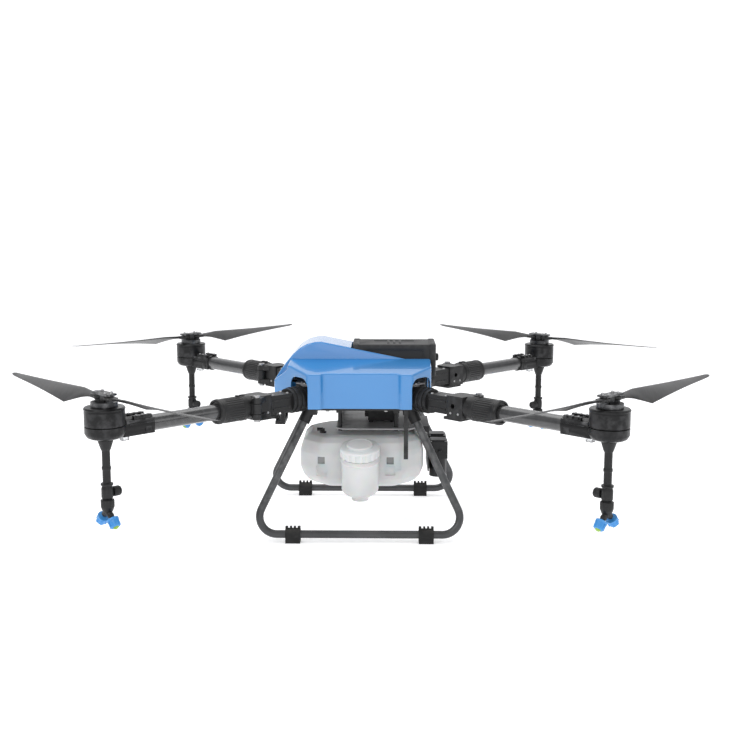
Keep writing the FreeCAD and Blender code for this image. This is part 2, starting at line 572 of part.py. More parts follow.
def tank_shell():
    """Blow-moulded tank with the filler column, and an outlet spigot on a boss under it."""
    column = rod(NECK_R, neck_axis(20), neck_axis(112))
    rim = rod(NECK_R - 5, neck_axis(0), neck_axis(24))
    shoulder = rod(NECK_R + 4, neck_axis(24), neck_axis(30))
    seat = outlet_seat()
    above, end = (0, seat[1], seat[2] + 16), (0, seat[1], seat[2] - OUTLET_LENGTH)
    boss, spigot = rod(OUTLET_R + 9, above, seat), rod(OUTLET_R, above, end)
    outer = join([tank_body(0), column, rim, shoulder, boss, spigot])
    inner = join([tank_body(TANK_WALL), rod(NECK_R - 9, neck_axis(-1), neck_axis(26)),
                  rod(NECK_R - TANK_WALL, neck_axis(25), neck_axis(104))])
    tank = outer.cut(inner)
    tank = tank.cut(rod(OUTLET_BORE, (0, seat[1], seat[2] + 30), (0, seat[1], end[2] - 1)))
    breather_hole = rod(4.05, (-90, -60, TANK_TOP - 10), (-90, -60, TANK_TOP + 1))
    return tank.cut(breather_hole)


def tank_cap():
    """Ribbed screw cap over the filler's rim."""
    top = rod(46, neck_axis(-4), neck_axis(-0.3))
    skirt = ring(46, NECK_R - 4.6, neck_axis(-4), neck_axis(18))
    crown = rod(30, neck_axis(-10), neck_axis(-4))
    return join([top, skirt, crown])


def tank_strainer():
    """Basket strainer that hangs inside the filler neck."""
    lip = ring(33.9, 30, neck_axis(0.2), neck_axis(3))
    basket = rod(31, neck_axis(0.2), neck_axis(60)).cut(rod(29.5, neck_axis(0), neck_axis(58)))
    return join([lip, basket])


def tank_breather():
    """Vent elbow pressed into the tank's top."""
    stem = rod(4, (-90, -60, TANK_TOP - 6), (-90, -60, TANK_TOP + 10))
    flange = rod(8, (-90, -60, TANK_TOP), (-90, -60, TANK_TOP + 3))
    spout = rod(4, (-90, -60, TANK_TOP + 8), (-104, -60, TANK_TOP + 8))
    return join([stem, flange, spout])


# ---- canopy and battery -------------------------------------------------------------

def shrink_plan(points, by):
    """Plan outline moved inwards by a wall thickness."""
    result = []
    count = len(points)
    for i in range(count):
        p0, p1, p2 = (Vector(*points[(i + k) % count], 0) for k in (-1, 0, 1))
        a, b = (p1 - p0).normalize(), (p2 - p1).normalize()
        n1, n2 = Vector(-a.y, a.x, 0), Vector(-b.y, b.x, 0)
        way = (n1 + n2).normalize()
        move = way * (by / way.dot(n1))
        result.append((p1.x + move.x, p1.y + move.y))
    return result


def canopy_form(inset):
    """Lower body with sloped shoulders, and the long hump with its falling back."""
    plan = shrink_plan(CANOPY_PLAN, inset) if inset else CANOPY_PLAN
    walls = slab(plan, SHELL_LOW - (1 if inset else 0), 120)
    side = 168.0 - inset
    hump = HUMP_HALF - inset
    low, high = SIDE_HIGH - inset, SIDE_HIGH + SHOULDER_RISE - inset
    roof = [(-side, -60), (-side, low), (-hump, high), (hump, high), (side, low), (side, -60)]
    wire = Part.makePolygon([Vector(-300, y, z) for y, z in roof + roof[:1]])
    shoulders = Part.Face(wire).extrude(Vector(600, 0, 0))
    nose = side_slab([(-240, -60), (-240, 0), (-205 + inset, 16 - inset), (-172, SIDE_HIGH - inset),
                      (-150, 90), (240, 90), (240, -60)], -200, 200)
    body = walls.common(shoulders).common(nose)
    ridge = side_slab([(-205 + inset, -60), (-205 + inset, 16 - inset), (-184 + inset * 0.5, 50 - inset),
                       (-151 + inset * 0.5, 96 - inset), (-128, 104 - inset), (-95, 107 - inset),
                       (165 - inset, 54 - inset), (165 - inset, -60)], -hump, hump)
    return body.fuse(ridge.common(walls)).removeSplitter()


def canopy():
    """Blue shell: open below, with an arch for each arm, the battery well and an open tail."""
    outer = canopy_form(0)
    outer = outer.common(block((-300, 300), (-300, 300), (SHELL_LOW, 200)))
    shell = outer.cut(canopy_form(SHELL))
    well = block((BATTERY_X[0] - 4, 300), (-BATTERY_HALF - 2.5, BATTERY_HALF + 2.5), (-100, 200))
    shell = shell.cut(well)
    for angle in ARMS.values():
        arch = join([block((150, 260), (-34.5, 34.5), (-60, 8)), rod(34.5, (150, 0, 8), (260, 0, 8))])
        arch = arch.common(block((150, 260), (-34.5, 34.5), (-60, 34)))
        shell = shell.cut(spun(arch, angle))
    return shell


def battery_case():
    """Battery pack with proud end bands, a handle recess and a round charge knob."""
    (x0, x1), half, (low, high) = BATTERY_X, BATTERY_HALF, BATTERY_Z
    core = block((x0 + 2, x1 - 2), (-half + 2, half - 2), (low + 0.0, high - 2))
    bands = [block((a, a + 16), (-half, half), (low, high)) for a in (x0, x1 - 16)]
    knob = rod(9, (x1, 0, (low + high) / 2), (x1 + 9, 0, (low + high) / 2))
    return join([core, knob] + bands)


# ---- write every node ---------------------------------------------------------------
def main():
    os.makedirs("parts", exist_ok=True)
    local = arm_parts()
    for arm, angle in ARMS.items():
        for base, solids in local.items():
            if arm in COUNTER_ROTATING and base.startswith("blade_"):
                opposite = "blade_b" if base == "blade_a" else "blade_a"
                solids = [mirrored_y(solid) for solid in local[opposite]]
            write(base + "_" + arm, [spun(s, angle) for s in solids])
    write("arm_roots", [spun(arm_root(), angle) for angle in ARMS.values()])
    left = landing_gear()
    write("landing_gear_left", [left])
    write("landing_gear_right", [mirrored_y(left)])
    write("skid_pads", skid_pads())
    write("leg_clamps", leg_clamps())
    write("deck_hangers", deck_hangers())
    write("frame_fasteners", frame_bolts() + [spun(fold_pin(), angle) for angle in ARMS.values()])
    write("spray_pumps", spray_pumps())
    write("fpv_camera", fpv_camera())
    single = {"frame_beams": frame_beams, "top_plate": top_plate, "battery_tray": battery_tray,
              "lower_deck": lower_deck, "nose_bracket": nose_bracket, "flight_controller": flight_controller,
              "gps_puck": gps_puck, "power_module": power_module, "pump_bracket": pump_bracket,
              "tank_shell": tank_shell, "tank_cap": tank_cap, "tank_strainer": tank_strainer,
              "tank_breather": tank_breather, "canopy": canopy, "battery_case": battery_case}
    for name, make in single.items():
        write(name, [make()])


main()
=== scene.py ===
import json
import math

import bmesh
import bpy
from mathutils import Matrix, Vector

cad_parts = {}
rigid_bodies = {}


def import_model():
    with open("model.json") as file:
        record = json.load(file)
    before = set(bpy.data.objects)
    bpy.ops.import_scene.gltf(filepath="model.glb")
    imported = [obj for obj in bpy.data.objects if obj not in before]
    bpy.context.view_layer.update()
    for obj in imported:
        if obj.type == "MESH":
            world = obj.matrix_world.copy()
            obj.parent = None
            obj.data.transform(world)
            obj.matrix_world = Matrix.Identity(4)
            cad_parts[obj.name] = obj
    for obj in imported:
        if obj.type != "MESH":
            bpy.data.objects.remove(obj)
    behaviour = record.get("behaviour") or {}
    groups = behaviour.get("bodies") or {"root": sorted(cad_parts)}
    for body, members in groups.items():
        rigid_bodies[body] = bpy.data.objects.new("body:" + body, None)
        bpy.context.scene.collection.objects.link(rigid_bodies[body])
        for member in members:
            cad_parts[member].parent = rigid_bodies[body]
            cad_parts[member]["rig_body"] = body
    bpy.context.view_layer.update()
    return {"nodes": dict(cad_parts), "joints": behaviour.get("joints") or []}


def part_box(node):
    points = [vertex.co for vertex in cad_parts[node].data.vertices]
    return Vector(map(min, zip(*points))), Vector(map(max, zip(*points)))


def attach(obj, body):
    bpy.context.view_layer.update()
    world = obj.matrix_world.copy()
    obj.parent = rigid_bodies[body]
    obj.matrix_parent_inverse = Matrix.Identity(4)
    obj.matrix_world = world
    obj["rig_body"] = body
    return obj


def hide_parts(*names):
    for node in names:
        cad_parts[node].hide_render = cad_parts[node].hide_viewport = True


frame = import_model()

# Anchors from the frame: every piece of an arm is built along +X at the motors' height, then turned into place.
joints = {joint["name"]: joint for joint in frame["joints"]}
armNames = [name[len("fold_"):] for name in joints if name.startswith("fold_")]
firstHub = Vector(joints["rotor_" + armNames[0]]["pos_m"])
motorHeight = firstHub.z
armReach = firstHub.to_2d().length
armHeight = sum(corner.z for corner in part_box("arm_tube_" + armNames[0])) / 2 - motorHeight  # tube below the motors


def armMatrix(arm):
    hub = Vector(joints["rotor_" + arm]["pos_m"])
    return Matrix.Translation((0, 0, motorHeight)) @ Matrix.Rotation(math.atan2(hub.y, hub.x), 4, "Z")


# mesh helpers
def roundCorners(points, radius, steps=4, closed=True):
    # swaps each corner of an outline for a short curve
    result = []
    count = len(points)
    for index, point in enumerate(points):
        if not closed and index in (0, count - 1):
            result.append(Vector(point))
            continue
        before, here, after = (Vector(points[(index + k) % count]) for k in (-1, 0, 1))
        back, ahead = before - here, after - here
        if back.length < 1e-7 or ahead.length < 1e-7:
            result.append(here)
            continue
        half = back.angle(ahead, math.pi) / 2
        trim = min(radius / max(math.tan(half), 0.05), 0.48 * back.length, 0.48 * ahead.length)
        start, end = here + back.normalized() * trim, here + ahead.normalized() * trim
        for k in range(steps + 1):
            t = k / steps
            result.append(start * (1 - t) ** 2 + here * 2 * t * (1 - t) + end * t * t)
    return result


def lathe(bm, profile, steps=48, matrix=Matrix(), material=0):
    # turns (radius, height) points about Z
    rings = []
    for radius, height in profile:
        if radius < 1e-6:
            rings.append([bm.verts.new(matrix @ Vector((0, 0, height)))])
        else:
            turn = [2 * math.pi * k / steps for k in range(steps)]
            rings.append([bm.verts.new(matrix @ Vector((radius * math.cos(a), radius * math.sin(a), height)))
                          for a in turn])
    for low, high in zip(rings, rings[1:]):
        for k in range(steps):
            corners = [low[k % len(low)], low[(k + 1) % len(low)], high[(k + 1) % len(high)], high[k % len(high)]]
            corners = list(dict.fromkeys(corners))
            if len(corners) > 2:
                bm.faces.new(corners).material_index = material


def bridgeRings(bm, rings, material=0):
    # walls between rings that have the same number of points
    count = len(rings[0])
    for lower, upper in zip(rings, rings[1:]):
        for k in range(count):
            face = bm.faces.new((lower[k], lower[(k + 1) % count], upper[(k + 1) % count], upper[k]))
            face.material_index = material


def outlineInset(outline, by):
    result = []
    count = len(outline)
    for index in range(count):
        before, here, after = (outline[(index + k) % count] for k in (-1, 0, 1))
        a, b = (here - before).normalized(), (after - here).normalized()
        normal = Vector((-a.y - b.y, a.x + b.x))
        scale = by / max(normal.length * 0.5, 0.3)
        result.append(here + normal.normalized() * scale)
    return result


def prism(bm, outline, low, high, edge=0.0008, steps=2, matrix=Matrix(), material=0):
    # raises a counter-clockwise outline from low to high, with rounded rims
    outline = [Vector(p).to_2d() for p in outline]
    levels = [(edge * (1 - math.sin(a)), edge * (1 - math.cos(a)))
              for a in (math.pi / 2 * k / steps for k in range(steps + 1))]
    stack = [(inset, low + up) for inset, up in levels] + [(inset, high - up) for inset, up in reversed(levels)]
    rings = []
    for inset, height in stack:
        ring = outlineInset(outline, inset) if inset > 1e-7 else outline
        rings.append([bm.verts.new(matrix @ Vector((p.x, p.y, height))) for p in ring])
    bridgeRings(bm, rings, material)
    bm.faces.new(list(reversed(rings[0]))).material_index = material
    bm.faces.new(rings[-1]).material_index = material


def slab(bm, x, y, z, corner=0.002, edge=0.0008, matrix=Matrix(), material=0):
    outline = roundCorners([(x[0], y[0]), (x[1], y[0]), (x[1], y[1]), (x[0], y[1])], corner, 3)
    prism(bm, outline, z[0], z[1], edge, 2, matrix, material)


def bolt(bm, spot, radius, height, matrix=Matrix(), material=0, up=Vector((0, 0, 1))):
    # button head with a socket
    turn = up.to_track_quat("Z", "Y").to_matrix().to_4x4()
    shape = [(0, height * 0.45), (radius * 0.45, height * 0.45), (radius * 0.5, height * 0.95),
             (radius * 0.72, height), (radius * 0.93, height * 0.7), (radius, height * 0.3), (radius, 0), (0, 0)]
    lathe(bm, shape, 18, matrix @ Matrix.Translation(spot) @ turn, material)


def sweepTube(bm, path, radius, steps=20, material=0):
    # round tube along a path of points, with flat ends
    rings = []
    side = Vector((0, 0, 1))
    for index, point in enumerate(path):
        ahead = path[min(index + 1, len(path) - 1)] - path[max(index - 1, 0)]
        ahead.normalize()
        side = (side - ahead * side.dot(ahead)).normalized()
        other = ahead.cross(side)
        rings.append([bm.verts.new(point + (side * math.cos(a) + other * math.sin(a)) * radius)
                      for a in (2 * math.pi * k / steps for k in range(steps))])
    bridgeRings(bm, rings, material)
    bm.faces.new(list(reversed(rings[0]))).material_index = material
    bm.faces.new(rings[-1]).material_index = material


def dressMesh(mesh, materials, smoothAngle=34):
    for material in materials:
        mesh.materials.append(material)
    mesh.polygons.foreach_set("use_smooth", [True] * len(mesh.polygons))
    mesh.set_sharp_from_angle(angle=math.radians(smoothAngle))


def steadyNormals(mesh):
    # large flat faces keep their own normal beside narrow rounded edges
    return withModifiers(mesh, ("WEIGHTED_NORMAL", {"keep_sharp": True, "weight": 90, "mode": "FACE_AREA"}))


def meshOf(bm, name):
    bmesh.ops.recalc_face_normals(bm, faces=bm.faces)
    mesh = bpy.data.meshes.new(name)
    bm.to_mesh(mesh)
    bm.free()
    return mesh


def place(name, mesh, body, replaced=()):
    piece = bpy.data.objects.new(name, mesh)
    bpy.context.scene.collection.objects.link(piece)
    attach(piece, body)
    if replaced:
        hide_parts(*replaced)
    return piece


def placeOnArms(name, mesh, bodyPrefix, replacedPrefix=None):
    for arm in armNames:
        copy = mesh.copy()
        copy.transform(armMatrix(arm))
        nodes = [replacedPrefix + arm] if replacedPrefix else []
        place(name + "_" + arm, copy, bodyPrefix + arm, nodes)


def evaluated(piece):
    bpy.context.view_layer.update()
    graph = bpy.context.evaluated_depsgraph_get()
    return bpy.data.meshes.new_from_object(piece.evaluated_get(graph), depsgraph=graph).copy()


def scratch(mesh):
    piece = bpy.data.objects.new("scratch", mesh)
    bpy.context.scene.collection.objects.link(piece)
    return piece


def withModifiers(mesh, *steps):
    # runs modifiers over a mesh, each given as (type, settings), and returns the result
    piece = scratch(mesh)
    for kind, settings in steps:
        modifier = piece.modifiers.new(kind.lower(), kind)
        for key, value in settings.items():
            setattr(modifier, key, value)
    result = evaluated(piece)
    bpy.data.objects.remove(piece)
    return result


def combine(mesh, other, operation="DIFFERENCE"):
    tool = scratch(other)
    result = withModifiers(mesh, ("BOOLEAN", {"operation": operation, "object": tool, "solver": "EXACT"}))
    bpy.data.objects.remove(tool)
    return result


def rounding(width, segments=3, degrees=30):
    return ("BEVEL", {"width": width, "segments": segments, "limit_method": "ANGLE",
                      "angle_limit": math.radians(degrees), "miter_outer": "MITER_ARC"})


def boxMesh(x, y, z):
    bm = bmesh.new()
    outline = [(x[0], y[0]), (x[1], y[0]), (x[1], y[1]), (x[0], y[1])]
    prism(bm, outline, z[0], z[1], 0.0, 1)
    bmesh.ops.remove_doubles(bm, verts=bm.verts, dist=1e-7)
    return meshOf(bm, "box")


def softenNode(node, width, materials, extra=None, segments=2):
    # the frame's own shape with its tessellation cleaned and its edges rounded, plus any small fittings
    bm = bmesh.new()
    bm.from_mesh(frame["nodes"][node].data)
    bmesh.ops.remove_doubles(bm, verts=bm.verts, dist=1e-5)
    bmesh.ops.dissolve_limit(bm, angle_limit=math.radians(1), verts=bm.verts, edges=bm.edges, delimit={"NORMAL"})
    for face in bm.faces:
        face.material_index = 0
    mesh = bpy.data.meshes.new(node)
    bm.to_mesh(mesh)
    bm.free()
    mesh.materials.clear()
    mesh = withModifiers(mesh, rounding(width, segments, 35))
    if extra:
        bm = bmesh.new()
        bm.from_mesh(mesh)
        added = bmesh.new()
        extra(added)
        bmesh.ops.recalc_face_normals(added, faces=added.faces)
        fittings = bpy.data.meshes.new("fittings")
        added.to_mesh(fittings)
        added.free()
        bm.from_mesh(fittings)
        bm.to_mesh(mesh)
        bm.free()
    dressMesh(mesh, materials)
    mesh = steadyNormals(mesh)
    body = frame["nodes"][node]["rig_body"]
    return place(node + ".shape", mesh, body, [node])


# shared shader groups
def newGroup(name, inputs, outputs):
    group = bpy.data.node_groups.new(name, "ShaderNodeTree")
    for label, kind, value in inputs:
        group.interface.new_socket(name=label, in_out="INPUT", socket_type=kind).default_value = value
    for label, kind in outputs:
        group.interface.new_socket(name=label, in_out="OUTPUT", socket_type=kind)
    return group, group.nodes.new("NodeGroupInput"), group.nodes.new("NodeGroupOutput")


def addNode(tree, kind, **settings):
    node = tree.nodes.new(kind)
    for key, value in settings.items():
        setattr(node, key, value)
    return node


def mathNode(tree, operation, first, second=None):
    node = addNode(tree, "ShaderNodeMath", operation=operation)
    for socket, value in zip(node.inputs, (first, second)):
        if isinstance(value, (int, float)):
            socket.default_value = value
        elif value is not None:
            tree.links.new(value, socket)
    return node.outputs[0]


def rangeNode(tree, value, low, high, newLow=0.0, newHigh=1.0):
    node = addNode(tree, "ShaderNodeMapRange")
    tree.links.new(value, node.inputs["Value"])
    for label, number in (("From Min", low), ("From Max", high), ("To Min", newLow), ("To Max", newHigh)):
        node.inputs[label].default_value = number
    return node.outputs[0]


def grainGroup():
    # fine moulded texture and slow drifts of shade
    group, into, out = newGroup("mouldGrain", [("Scale", "NodeSocketFloat", 900.0), ("Drift", "NodeSocketFloat", 9.0)],
                                [("Height", "NodeSocketFloat"), ("Shade", "NodeSocketFloat")])
    where = addNode(group, "ShaderNodeTexCoord")
    for label, output, detail in (("Scale", "Height", 3.0), ("Drift", "Shade", 6.0)):
        noise = addNode(group, "ShaderNodeTexNoise")
        noise.inputs["Detail"].default_value = detail
        group.links.new(where.outputs["Object"], noise.inputs["Vector"])
        group.links.new(into.outputs[label], noise.inputs["Scale"])
        group.links.new(noise.outputs["Fac"], out.inputs[output])
    return group


def wearGroup():
    # rubbed edges, broken up by noise
    group, into, out = newGroup("edgeWear", [("Amount", "NodeSocketFloat", 0.5), ("Scale", "NodeSocketFloat", 60.0)],
                                [("Mask", "NodeSocketFloat")])
    shape = addNode(group, "ShaderNodeNewGeometry")
    where = addNode(group, "ShaderNodeTexCoord")
    noise = addNode(group, "ShaderNodeTexNoise")
    noise.inputs["Detail"].default_value = 8.0
    group.links.new(where.outputs["Object"], noise.inputs["Vector"])
    group.links.new(into.outputs["Scale"], noise.inputs["Scale"])
    edge = rangeNode(group, shape.outputs["Pointiness"], 0.515, 0.60)
    broken = rangeNode(group, noise.outputs["Fac"], 0.42, 0.62)
    mask = mathNode(group, "MULTIPLY", mathNode(group, "MULTIPLY", edge, broken), into.outputs["Amount"])
    group.links.new(mask, out.inputs["Mask"])
    return group


def dustGroup():
    # thin dust that settles on faces that look up
    group, into, out = newGroup("settledDust", [("Amount", "NodeSocketFloat", 0.2)], [("Mask", "NodeSocketFloat")])
    shape = addNode(group, "ShaderNodeNewGeometry")
    split = addNode(group, "ShaderNodeSeparateXYZ")
    group.links.new(shape.outputs["Normal"], split.inputs[0])
    where = addNode(group, "ShaderNodeTexCoord")
    noise = addNode(group, "ShaderNodeTexNoise")
    noise.inputs["Scale"].default_value = 22.0
    noise.inputs["Detail"].default_value = 9.0
    group.links.new(where.outputs["Object"], noise.inputs["Vector"])
    facing = rangeNode(group, split.outputs["Z"], 0.35, 1.0)
    patches = rangeNode(group, noise.outputs["Fac"], 0.38, 0.7)
    mask = mathNode(group, "MULTIPLY", mathNode(group, "MULTIPLY", facing, patches), into.outputs["Amount"])
    group.links.new(mask, out.inputs["Mask"])
    return group


def twillGroup():
    # carbon twill: two crossing sets of tows, stepped over each other, laid at 45 degrees to the airframe
    group, into, out = newGroup("carbonTwill", [("Tow", "NodeSocketFloat", 0.004)],
                                [("Height", "NodeSocketFloat"), ("Mask", "NodeSocketFloat")])
    where = addNode(group, "ShaderNodeTexCoord")
    turn = addNode(group, "ShaderNodeVectorRotate", rotation_type="EULER_XYZ")
    turn.inputs["Rotation"].default_value = (0.35, 0.0, math.radians(45))
    group.links.new(where.outputs["Object"], turn.inputs["Vector"])
    split = addNode(group, "ShaderNodeSeparateXYZ")
    group.links.new(turn.outputs[0], split.inputs[0])
    along = mathNode(group, "DIVIDE", mathNode(group, "ADD", split.outputs["X"], split.outputs["Z"]),
                     into.outputs["Tow"])
    across = mathNode(group, "DIVIDE", mathNode(group, "SUBTRACT", split.outputs["Y"], split.outputs["Z"]),
                      into.outputs["Tow"])
    step = mathNode(group, "ADD", mathNode(group, "FLOOR", along), mathNode(group, "FLOOR", across))
    over = mathNode(group, "LESS_THAN", mathNode(group, "FLOORED_MODULO", step, 4.0), 2.0)
    waveA = mathNode(group, "ABSOLUTE", mathNode(group, "SINE", mathNode(group, "MULTIPLY", along, math.pi)))
    waveB = mathNode(group, "ABSOLUTE", mathNode(group, "SINE", mathNode(group, "MULTIPLY", across, math.pi)))
    mix = addNode(group, "ShaderNodeMix", data_type="FLOAT")
    group.links.new(over, mix.inputs[0])
    group.links.new(waveA, mix.inputs[2])
    group.links.new(waveB, mix.inputs[3])
    group.links.new(mix.outputs[0], out.inputs["Height"])
    group.links.new(over, out.inputs["Mask"])
    return group


groups = {"grain": grainGroup(), "wear": wearGroup(), "dust": dustGroup(), "twill": twillGroup()}
print("shader groups built")


# finishes
finishes = {
    "canopyPaint": dict(color=(0.036, 0.215, 0.520), other=(0.039, 0.226, 0.540), worn=(0.35, 0.55, 0.85),
                        rough=(0.22, 0.28), coat=0.8, coatRough=0.03, grain=260.0, bump=0.0, wear=0.02, dust=0.0),
    "carbonTube": dict(color=(0.012, 0.012, 0.013), other=(0.030, 0.030, 0.032), worn=(0.08, 0.08, 0.08),
                       rough=(0.24, 0.34), coat=0.8, coatRough=0.12, grain=700.0, bump=0.05, wear=0.2, dust=0.05,
                       twill=0.0045),
    "mouldedNylon": dict(color=(0.0085, 0.0085, 0.0090), other=(0.0140, 0.0140, 0.0145), worn=(0.060, 0.060, 0.060),
                         rough=(0.34, 0.46), grain=1400.0, bump=0.07, wear=0.5, dust=0.04, specular=0.32),
    "anodisedBlack": dict(color=(0.0080, 0.0080, 0.0085), other=(0.0130, 0.0130, 0.0135), worn=(0.32, 0.32, 0.33),
                          rough=(0.28, 0.38), metallic=0.35, grain=1100.0, bump=0.05, wear=0.22, dust=0.04,
                          specular=0.32),
    "hubAlloy": dict(color=(0.040, 0.041, 0.043), other=(0.065, 0.066, 0.068), worn=(0.55, 0.55, 0.56),
                     rough=(0.28, 0.42), metallic=0.9, grain=900.0, bump=0.06, wear=0.5, dust=0.08),
    "brightSteel": dict(color=(0.42, 0.42, 0.42), other=(0.34, 0.34, 0.35), worn=(0.50, 0.50, 0.50),
                        rough=(0.30, 0.42), metallic=1.0, grain=1200.0, bump=0.05, wear=0.3, dust=0.05),
    "bladeCarbon": dict(color=(0.0100, 0.0100, 0.0105), other=(0.0180, 0.0180, 0.0190), worn=(0.05, 0.05, 0.05),
                        rough=(0.32, 0.44), coat=0.15, coatRough=0.3, grain=900.0, bump=0.06, wear=0.3, dust=0.04,
                        twill=0.005, specular=0.32),
    "nozzleBlack": dict(color=(0.0075, 0.0075, 0.0080), other=(0.0120, 0.0120, 0.0125), worn=(0.05, 0.05, 0.05),
                        rough=(0.30, 0.44), grain=1200.0, bump=0.08, wear=0.3, dust=0.04, specular=0.32),
    "nozzleBlue": dict(color=(0.035, 0.23, 0.58), other=(0.045, 0.27, 0.64), worn=(0.25, 0.50, 0.80),
                       rough=(0.32, 0.44), grain=1000.0, bump=0.06, wear=0.25, dust=0.0),
    "tipGreen": dict(color=(0.25, 0.42, 0.06), other=(0.30, 0.50, 0.08), worn=(0.5, 0.6, 0.3),
                     rough=(0.35, 0.48), grain=1000.0, bump=0.05, wear=0.2, dust=0.0),
    "gearTube": dict(color=(0.050, 0.051, 0.053), other=(0.075, 0.076, 0.078), worn=(0.40, 0.40, 0.40),
                     rough=(0.30, 0.44), metallic=0.45, grain=800.0, bump=0.06, wear=0.25, dust=0.06),
    "padRubber": dict(color=(0.008, 0.008, 0.008), other=(0.014, 0.014, 0.014), worn=(0.05, 0.05, 0.05),
                      rough=(0.65, 0.82), grain=1500.0, bump=0.16, wear=0.4, dust=0.15, specular=0.32),
    "greySheet": dict(color=(0.21, 0.21, 0.215), other=(0.27, 0.27, 0.275), worn=(0.50, 0.50, 0.50),
                      rough=(0.34, 0.48), grain=900.0, bump=0.05, wear=0.4, dust=0.15, twill=0.004),
    "deviceBlack": dict(color=(0.0080, 0.0080, 0.0085), other=(0.0125, 0.0125, 0.0130), worn=(0.08, 0.08, 0.08),
                        rough=(0.46, 0.60), grain=1700.0, bump=0.14, wear=0.35, dust=0.05, specular=0.32),
    "batteryShell": dict(color=(0.018, 0.018, 0.019), other=(0.026, 0.026, 0.027), worn=(0.09, 0.09, 0.09),
                         rough=(0.48, 0.62), grain=1500.0, bump=0.14, wear=0.4, dust=0.04, specular=0.32),
    "capPlastic": dict(color=(0.60, 0.61, 0.61), other=(0.66, 0.67, 0.67), worn=(0.60, 0.60, 0.58),
                       rough=(0.34, 0.46), grain=800.0, bump=0.05, wear=0.0, dust=0.0, subsurface=0.15),
    # painted shade: flat grey that darkens the pinched window webs of the tank
    "kissGrey": dict(color=(0.20, 0.20, 0.20), other=(0.26, 0.26, 0.26), worn=(0.3, 0.3, 0.3), rough=(0.30, 0.40),
                     grain=500.0, bump=0.03, wear=0.0, dust=0.0),
    "lensGlass": dict(color=(0.012, 0.014, 0.020), other=(0.02, 0.022, 0.03), worn=(0.1, 0.1, 0.1),
                      rough=(0.04, 0.08), coat=1.0, coatRough=0.02, grain=300.0, bump=0.0, wear=0.0, dust=0.0),
    "clearPlastic": dict(color=(0.75, 0.76, 0.77), other=(0.85, 0.86, 0.87), worn=(0.9, 0.9, 0.9),
                         rough=(0.10, 0.22), grain=500.0, bump=0.02, wear=0.1, dust=0.05, transmission=0.75),
    # milky polyethylene: cloudy walls, a little light comes through
    "milkyTank": dict(color=(0.60, 0.61, 0.61), other=(0.72, 0.73, 0.73), worn=(0.60, 0.60, 0.60), rough=(0.30, 0.42),
                      grain=500.0, bump=0.06, wear=0.0, dust=0.0, transmission=0.12, subsurface=0.35),
}


def makeFinish(name, look):
    material = bpy.data.materials.new(name)
    material.use_nodes = True
    tree = material.node_tree
    shader = tree.nodes["Principled BSDF"]
    grain = addNode(tree, "ShaderNodeGroup", node_tree=groups["grain"])
    grain.inputs["Scale"].default_value = look["grain"]
    wear = addNode(tree, "ShaderNodeGroup", node_tree=groups["wear"])
    wear.inputs["Amount"].default_value = look["wear"]
    dust = addNode(tree, "ShaderNodeGroup", node_tree=groups["dust"])
    dust.inputs["Amount"].default_value = look["dust"]

    def mixColor(factor, first, second):
        mix = addNode(tree, "ShaderNodeMix", data_type="RGBA")
        tree.links.new(factor, mix.inputs[0])
        for socket, value in ((mix.inputs[6], first), (mix.inputs[7], second)):
            if isinstance(value, tuple):
                socket.default_value = (*value, 1.0)
            else:
                tree.links.new(value, socket)
        return mix.outputs[2]

    shade = rangeNode(tree, grain.outputs["Shade"], 0.35, 0.65)
    color = mixColor(shade, look["color"], look["other"])
    height = grain.outputs["Height"]
    if "twill" in look:
        twill = addNode(tree, "ShaderNodeGroup", node_tree=groups["twill"])
        twill.inputs["Tow"].default_value = look["twill"]
        color = mixColor(mathNode(tree, "MULTIPLY", twill.outputs["Mask"], 0.45), color, look["other"])
        height = mathNode(tree, "ADD", mathNode(tree, "MULTIPLY", height, 0.4), twill.outputs["Height"])
    color = mixColor(wear.outputs["Mask"], color, look["worn"])
    color = mixColor(dust.outputs["Mask"], color, (0.42, 0.40, 0.36))
    tree.links.new(color, shader.inputs["Base Color"])
    rough = rangeNode(tree, grain.outputs["Shade"], 0.3, 0.7, *look["rough"])
    rough = mathNode(tree, "ADD", rough, mathNode(tree, "MULTIPLY", dust.outputs["Mask"], 0.5))
    tree.links.new(rough, shader.inputs["Roughness"])
    if look["bump"] > 0:
        bump = addNode(tree, "ShaderNodeBump")
        bump.inputs["Strength"].default_value = look["bump"]
        bump.inputs["Distance"].default_value = 0.001
        tree.links.new(height, bump.inputs["Height"])
        tree.links.new(bump.outputs["Normal"], shader.inputs["Normal"])
    shader.inputs["Metallic"].default_value = look.get("metallic", 0.0)
    shader.inputs["Specular IOR Level"].default_value = look.get("specular", 0.5)
    shader.inputs["Coat Weight"].default_value = look.get("coat", 0.0)
    shader.inputs["Coat Roughness"].default_value = look.get("coatRough", 0.1)
    shader.inputs["Transmission Weight"].default_value = look.get("transmission", 0.0)
    shader.inputs["Subsurface Weight"].default_value = look.get("subsurface", 0.0)
    shader.inputs["Subsurface Scale"].default_value = 0.02
    return material


finish = {name: makeFinish(name, look) for name, look in finishes.items()}
print("finishes built")


# arms
def carryTube():
    for arm in armNames:
        node = frame["nodes"]["arm_tube_" + arm]
        node.data.materials.clear()
        node.data.materials.append(finish["carbonTube"])


collar = dict(inner=0.3605, outer=0.437, radius=0.0268, ribRise=0.0010, ribs=30, lip=0.0278, bore=0.0224, band=0.0125)


